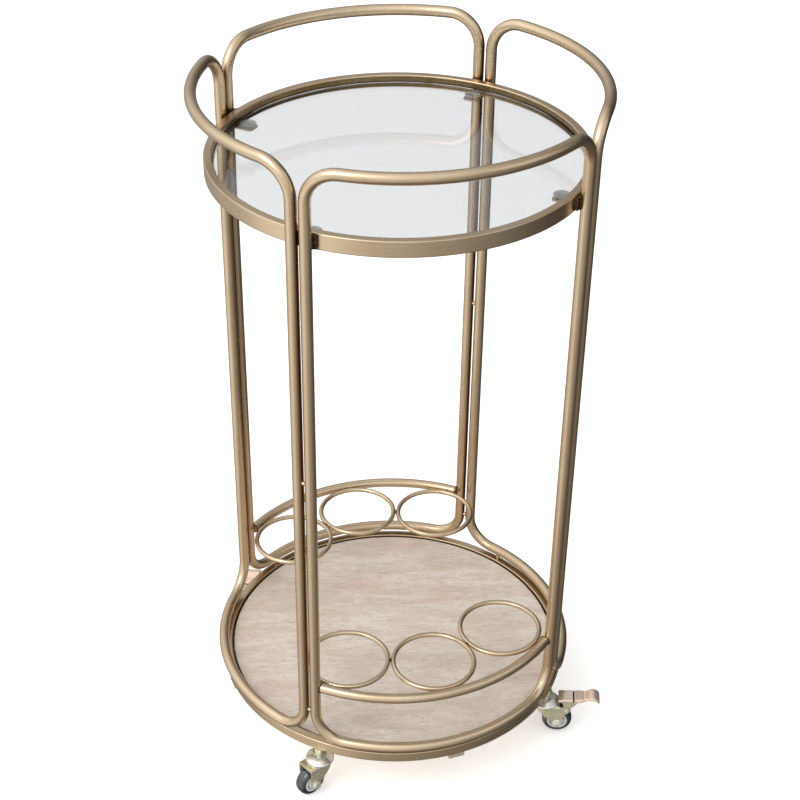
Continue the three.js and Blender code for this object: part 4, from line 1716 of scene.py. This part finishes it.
    def brake(self) -> None:
        """The brake's pin and its pedal."""
        half = self.half
        line = profile(-half, (0, -1), (2, -0.9), (2.6, -0.1)) + [(self.pin_radius, -half)]
        pin = onto_y(lathe(doubled(line), 24)).moved(Matrix.Translation(self.pin))
        self.add("brake_pin", pin, Finish.SILVER, self.swivel, ["brake_pin"])
        Pedal(self).build(self.node("brake"))

    def build(self) -> None:
        """Builds the caster."""
        self.stem()
        self.fork()
        self.wheel()
        self.axle()
        if self.braked:
            self.brake()


@dataclass
class Pedal:
    """The pressed brake pedal of a caster, in two plates with a slot between them."""

    caster: Caster
    plate: float = 2 * MM
    flange: float = 1.6 * MM
    wall: float = 1.2 * MM
    rise: float = 8.3 * MM
    lift: float = 3.2 * MM
    lip_drop: float = 6 * MM
    lip_length: float = 9 * MM
    start: float = 16 * MM
    slot: float = 34 * MM
    slot_width: float = 2.2 * MM
    slot_lap: float = 0.6 * MM
    tilt: float = 0.06
    neck: float = 51 * MM
    neck_length: float = 4.2 * MM
    reach: float = 68 * MM
    side_gap: float = 0.3 * MM
    ear_radius: float = 4 * MM
    ear_sheet: float = 1.6 * MM
    tongue_gap: float = 2.3 * MM
    tongue_angle: float = 45.6
    wire: float = 0.55 * MM
    coil_radius: float = 2.9 * MM
    coil_width: float = 5.5 * MM
    coil_turns: int = 5
    coil_steps: int = 16

    def __post_init__(self) -> None:
        """Takes the room between the fork's sides from the caster."""
        self.half = self.caster.half - self.caster.sheet - self.side_gap

    def height(self, x: float) -> float:
        """Follows the pedal's underside: straight, then up to the toe and down over the lip.

        Args:
            x: A place along the pedal.

        Returns:
            The underside's height there.
        """
        base = self.caster.fork_top + self.rise + (x - self.start) * self.tilt
        knee, crest = self.neck - 5 * MM, self.reach - self.lip_length
        if x <= knee:
            return base
        if x <= crest:
            share = (x - knee) / (crest - knee)
            return base + self.lift * share * share * (3 - 2 * share)
        share = (x - crest) / (self.reach - crest)
        return base + self.lift - self.lip_drop * share**1.9

    def half_width(self, x: float) -> float:
        """Follows the pedal's edge: full width at both ends, waisted at the neck.

        Args:
            x: A place along the pedal.

        Returns:
            Half of the width there.
        """
        waist = math.exp(-(((x - self.neck) / self.neck_length) ** 2)) * 2.0 * MM
        lip = max(0.0, (x - self.reach + 2.5 * MM) / (2.5 * MM))
        return self.half - waist - lip**2 * 1.2 * MM

    def strip(self, start: float, end: float) -> Form:
        """Presses a stretch of the pedal's plate, with turned-down edges.

        Args:
            start: Where it starts along the pedal.
            end: Where it ends.

        Returns:
            The shape.
        """
        reach = mm(0.3, 1.4, 1.4, 0.3, 0.3, 0.5, 0.5, 0.3)
        count = max(6, int((end - start) / (0.8 * MM)))
        sections = []
        for step in range(count + 1):
            x = start + (end - start) * step / count
            z, half = self.height(x), self.half_width(x)
            low, top, inner = z - self.flange, z + self.plate, half - self.wall
            outside = [(-half, low), (-half, top), (half, top), (half, low)]
            inside = [(inner, low), (inner, z), (-inner, z), (-inner, low)]
            outline = rounded(outside + inside, reach, 3)
            sections.append([Vector((x, y, level)) for y, level in outline])
        return loft(sections)

    def plates(self, body: str) -> None:
        """Adds both plates, a dark liner of painted shade in the slot between them, and the ribs.

        Args:
            body: The body that they ride on.
        """
        caster, slot_end = self.caster, self.slot + self.slot_width
        heel, toe = self.strip(self.start, self.slot), self.strip(slot_end, self.reach)
        caster.add("pedal", heel.joined(toe), Finish.COPPER, body, ["pedal"], 35)
        # Painted shade: a black liner under the slot stands in for the shade down in the pedal's channel.
        floor, edge = self.height(self.slot), self.half_width(self.slot)
        across = edge - 0.2 * MM
        low = (self.slot - self.slot_lap, -across, floor - 0.8 * MM)
        shade_liner = slab(low, (slot_end + self.slot_lap, across, floor + 0.3 * MM), 0.2 * MM)
        caster.add("pedal_slot", shade_liner, Finish.SLOT, body)
        line = profile(1.8 * MM - edge, (0, 0), (0.9, 0.1), (1.3, 1))
        rib = onto_y(lathe(doubled(line), 16))
        places = [
            Matrix.Translation((x, 0, self.height(x) + self.plate - 0.1 * MM))
            for x in (self.slot + lead for lead in mm(5, 8.8, 12.6))
        ]
        caster.add("pedal_ribs", caster.repeated(rib, places), Finish.COPPER, body)

    def bracket(self) -> Form:
        """Makes the ears on the pin, the web under the slot and the tongue over the tyre.

        Returns:
            The bracket.
        """
        caster, pin, half, ear = self.caster, self.caster.pin, self.half, self.ear_radius
        under = caster.fork_top + self.rise
        outline = [
            (pin.x - ear, pin.z),
            (pin.x, pin.z - ear),
            (pin.x + ear, pin.z),
            (pin.x + 12 * MM, under - 3 * MM),
            (pin.x + 15 * MM, under),
            (pin.x - ear, under),
        ]
        side = plate(rounded(outline, mm(2.5, 3, 2.5, 2, 1, 1), 5), 0, self.ear_sheet, 0.3 * MM)
        web_low = (pin.x + 3 * MM, -half, under - 6 * MM)
        web = slab(web_low, (pin.x + 11 * MM, half, under - 4.4 * MM), 0.5 * MM)
        tyre_reach = caster.wheel_radius + self.tongue_gap
        start = caster.trail + tyre_reach * math.cos(math.radians(self.tongue_angle))
        tongue_low = (start, -6 * MM, caster.wheel_radius + 15.3 * MM)
        tongue = slab(tongue_low, (start + 1.8 * MM, 6 * MM, under), 0.5 * MM)
        left, right = caster.stood(side, (-half + self.ear_sheet, half))
        return left.joined(right, web, tongue)

    def spring(self) -> bpy.types.Mesh:
        """Winds the torsion spring on the pin, with one leg up to the pedal.

        Returns:
            The spring's mesh, in place.
        """
        pin, radius, last = self.caster.pin, self.coil_radius, self.coil_turns * self.coil_steps
        path = []
        for step in range(last + 1):
            angle = 2 * math.pi * step / self.coil_steps
            across = self.coil_width * (step / last - 0.5)
            path.append(pin + Vector((radius * math.cos(angle), across, radius * math.sin(angle))))
        leg = Vector((0.35, 0, 1)) * 1.2 * MM
        path += [path[last] + leg * step for step in range(1, 9)]
        return self.caster.shop.tube([self.caster.place @ p for p in path], self.wire, False, 10)

    def build(self, body: str) -> None:
        """Builds the pedal's pieces.

        Args:
            body: The body that they ride on.
        """
        self.plates(body)
        self.caster.add("pedal_bracket", self.bracket(), Finish.ZINC, body, sharp=30)
        self.caster.add("pedal_spring", self.spring(), Finish.SILVER, body, sharp=60)


# ------------------------------------------------------------------ studio


@dataclass
class Studio:
    """The pale floor, the soft light and the camera."""

    camera_place: Triple = (-0.5371, -1.6063, 1.5588)
    ahead: Triple = (0.23442, 0.77420, -0.58793)
    right: Triple = (0.95645, -0.29187, -0.00299)
    lens: float = 76.6
    sensor: float = 36.0
    shift: Point = (0.056, 0.1)
    clip: Point = (0.05, 60)
    floor_size: float = 14.0
    lamp_aim: Triple = (0, 0, 0.4)
    lamps: tuple[tuple[str, Triple, float, float], ...] = (
        ("key_light", (-1.9, -0.9, 2.7), 1.5, 22),
        ("fill_light", (1.9, -1.4, 2.0), 1.8, 5),
    )
    darker_right: float = 0.9
    darker_back: float = 0.22
    glow_from: Triple = (-0.79, -0.18, -0.59)
    glow_edge: Point = (0.88, 0.09)
    glow_strength: float = 0.9
    sky: tuple[tuple[float, Colour], ...] = (
        (0.0, (0.16, 0.14, 0.12, 1)),
        (0.12, (0.28, 0.26, 0.24, 1)),
        (0.22, (0.42, 0.41, 0.4, 1)),
        (0.5, (0.58, 0.58, 0.59, 1)),
        (0.66, (0.8, 0.81, 0.83, 1)),
        (0.86, (1.0, 1.02, 1.06, 1)),
        (1.0, (1.12, 1.14, 1.2, 1)),
    )

    def floor(self, paper: bpy.types.Material) -> None:
        """Lays the floor, which mirrors don't see.

        Args:
            paper: Its material.
        """
        half = self.floor_size / 2
        sheet = bpy.data.meshes.new("floor")
        corners = [(x, y, 0) for x, y in oblong(-half, -half, half, half)]
        sheet.from_pydata(corners, [], [(0, 1, 2, 3)])
        sheet.materials.append(paper)
        made = linked("floor", sheet)
        made.visible_glossy = False

    def backdrop(self, paper: bpy.types.Material) -> None:
        """Sets up a round pale wall that neither lights the cart nor shows in mirrors.

        Args:
            paper: Its material.
        """
        radius, height = self.floor_size * 0.47, self.floor_size * 0.6
        wall = lathe(oblong(radius, -0.01, radius + 0.1, height), 96)
        made = linked("backdrop", wall.mesh("backdrop"))
        made.data.materials.append(paper)
        made.visible_glossy = made.visible_diffuse = made.visible_shadow = False

    def world(self) -> None:
        """A soft studio dome, dark underneath and brightest overhead, with a glow low on the left."""
        world = bpy.data.worlds.new("studio")
        world.use_nodes = True
        world.node_tree.nodes.clear()
        graph = Graph(world.node_tree)
        way = graph.node("ShaderNodeTexCoord").value("Generated")
        parts = graph.node("ShaderNodeSeparateXYZ", {}, {0: way})
        height = parts.value(2) * 0.5 + 0.5
        dome = graph.node("ShaderNodeValToRGB", {"stops": self.sky}, {0: height}).value(0)
        side = 1.0 - parts.value(0) * self.darker_right - parts.value(1) * self.darker_back
        glow = graph.node("ShaderNodeVectorMath", {"operation": "DOT_PRODUCT"}, {0: way, 1: self.glow_from})
        side = side + glow.value(1).above(*self.glow_edge) * self.glow_strength
        light = graph.node("ShaderNodeBackground", {}, {"Color": dome, "Strength": side}).value(0)
        graph.node("ShaderNodeOutputWorld", {}, {"Surface": light})
        bpy.context.scene.world = world

    def lamp(self, name: str, place: Triple, size: float, power: float) -> None:
        """Hangs a square soft light that faces the cart.

        Args:
            name: Its name.
            place: Where it hangs.
            size: The length of its side.
            power: Its power in watts.
        """
        light = bpy.data.lights.new(name, "AREA")
        light.shape, light.size, light.energy = "SQUARE", size, power
        made = linked(name, light)
        made.location = place
        made.rotation_euler = (Vector(self.lamp_aim) - Vector(place)).to_track_quat("-Z", "Y").to_euler()

    def camera(self) -> None:
        """The camera."""
        lens = bpy.data.cameras.new("camera")
        lens.lens, lens.sensor_width = self.lens, self.sensor
        lens.shift_x, lens.shift_y = self.shift
        lens.clip_start, lens.clip_end = self.clip
        made = linked("camera", lens)
        back = -Vector(self.ahead).normalized()
        side = Vector(self.right).normalized()
        turn = Matrix((side, back.cross(side), back)).transposed().to_4x4()
        made.matrix_world = Matrix.Translation(self.camera_place) @ turn
        bpy.context.scene.camera = made

    def build(self) -> None:
        """Sets up the whole studio."""
        paper = PaleFloor().material()
        self.floor(paper)
        self.backdrop(paper)
        self.world()
        for name, place, size, power in self.lamps:
            self.lamp(name, place, size, power)
        self.camera()
        bpy.context.scene.view_settings.view_transform = "Standard"


def main() -> None:
    """Builds the studio and every sub-assembly."""
    logging.basicConfig(level=logging.INFO, format="%(message)s", stream=sys.stdout)
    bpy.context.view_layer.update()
    Studio().build()
    shop = Workshop()
    tubes = TubeFrame(shop)
    tubes.build()
    Shelves(shop).build()
    Galleries(shop, tubes).build()
    for corner in CORNERS:
        Caster(shop, corner, corner in BRAKED).build()


if __name__ == "__main__":
    main()
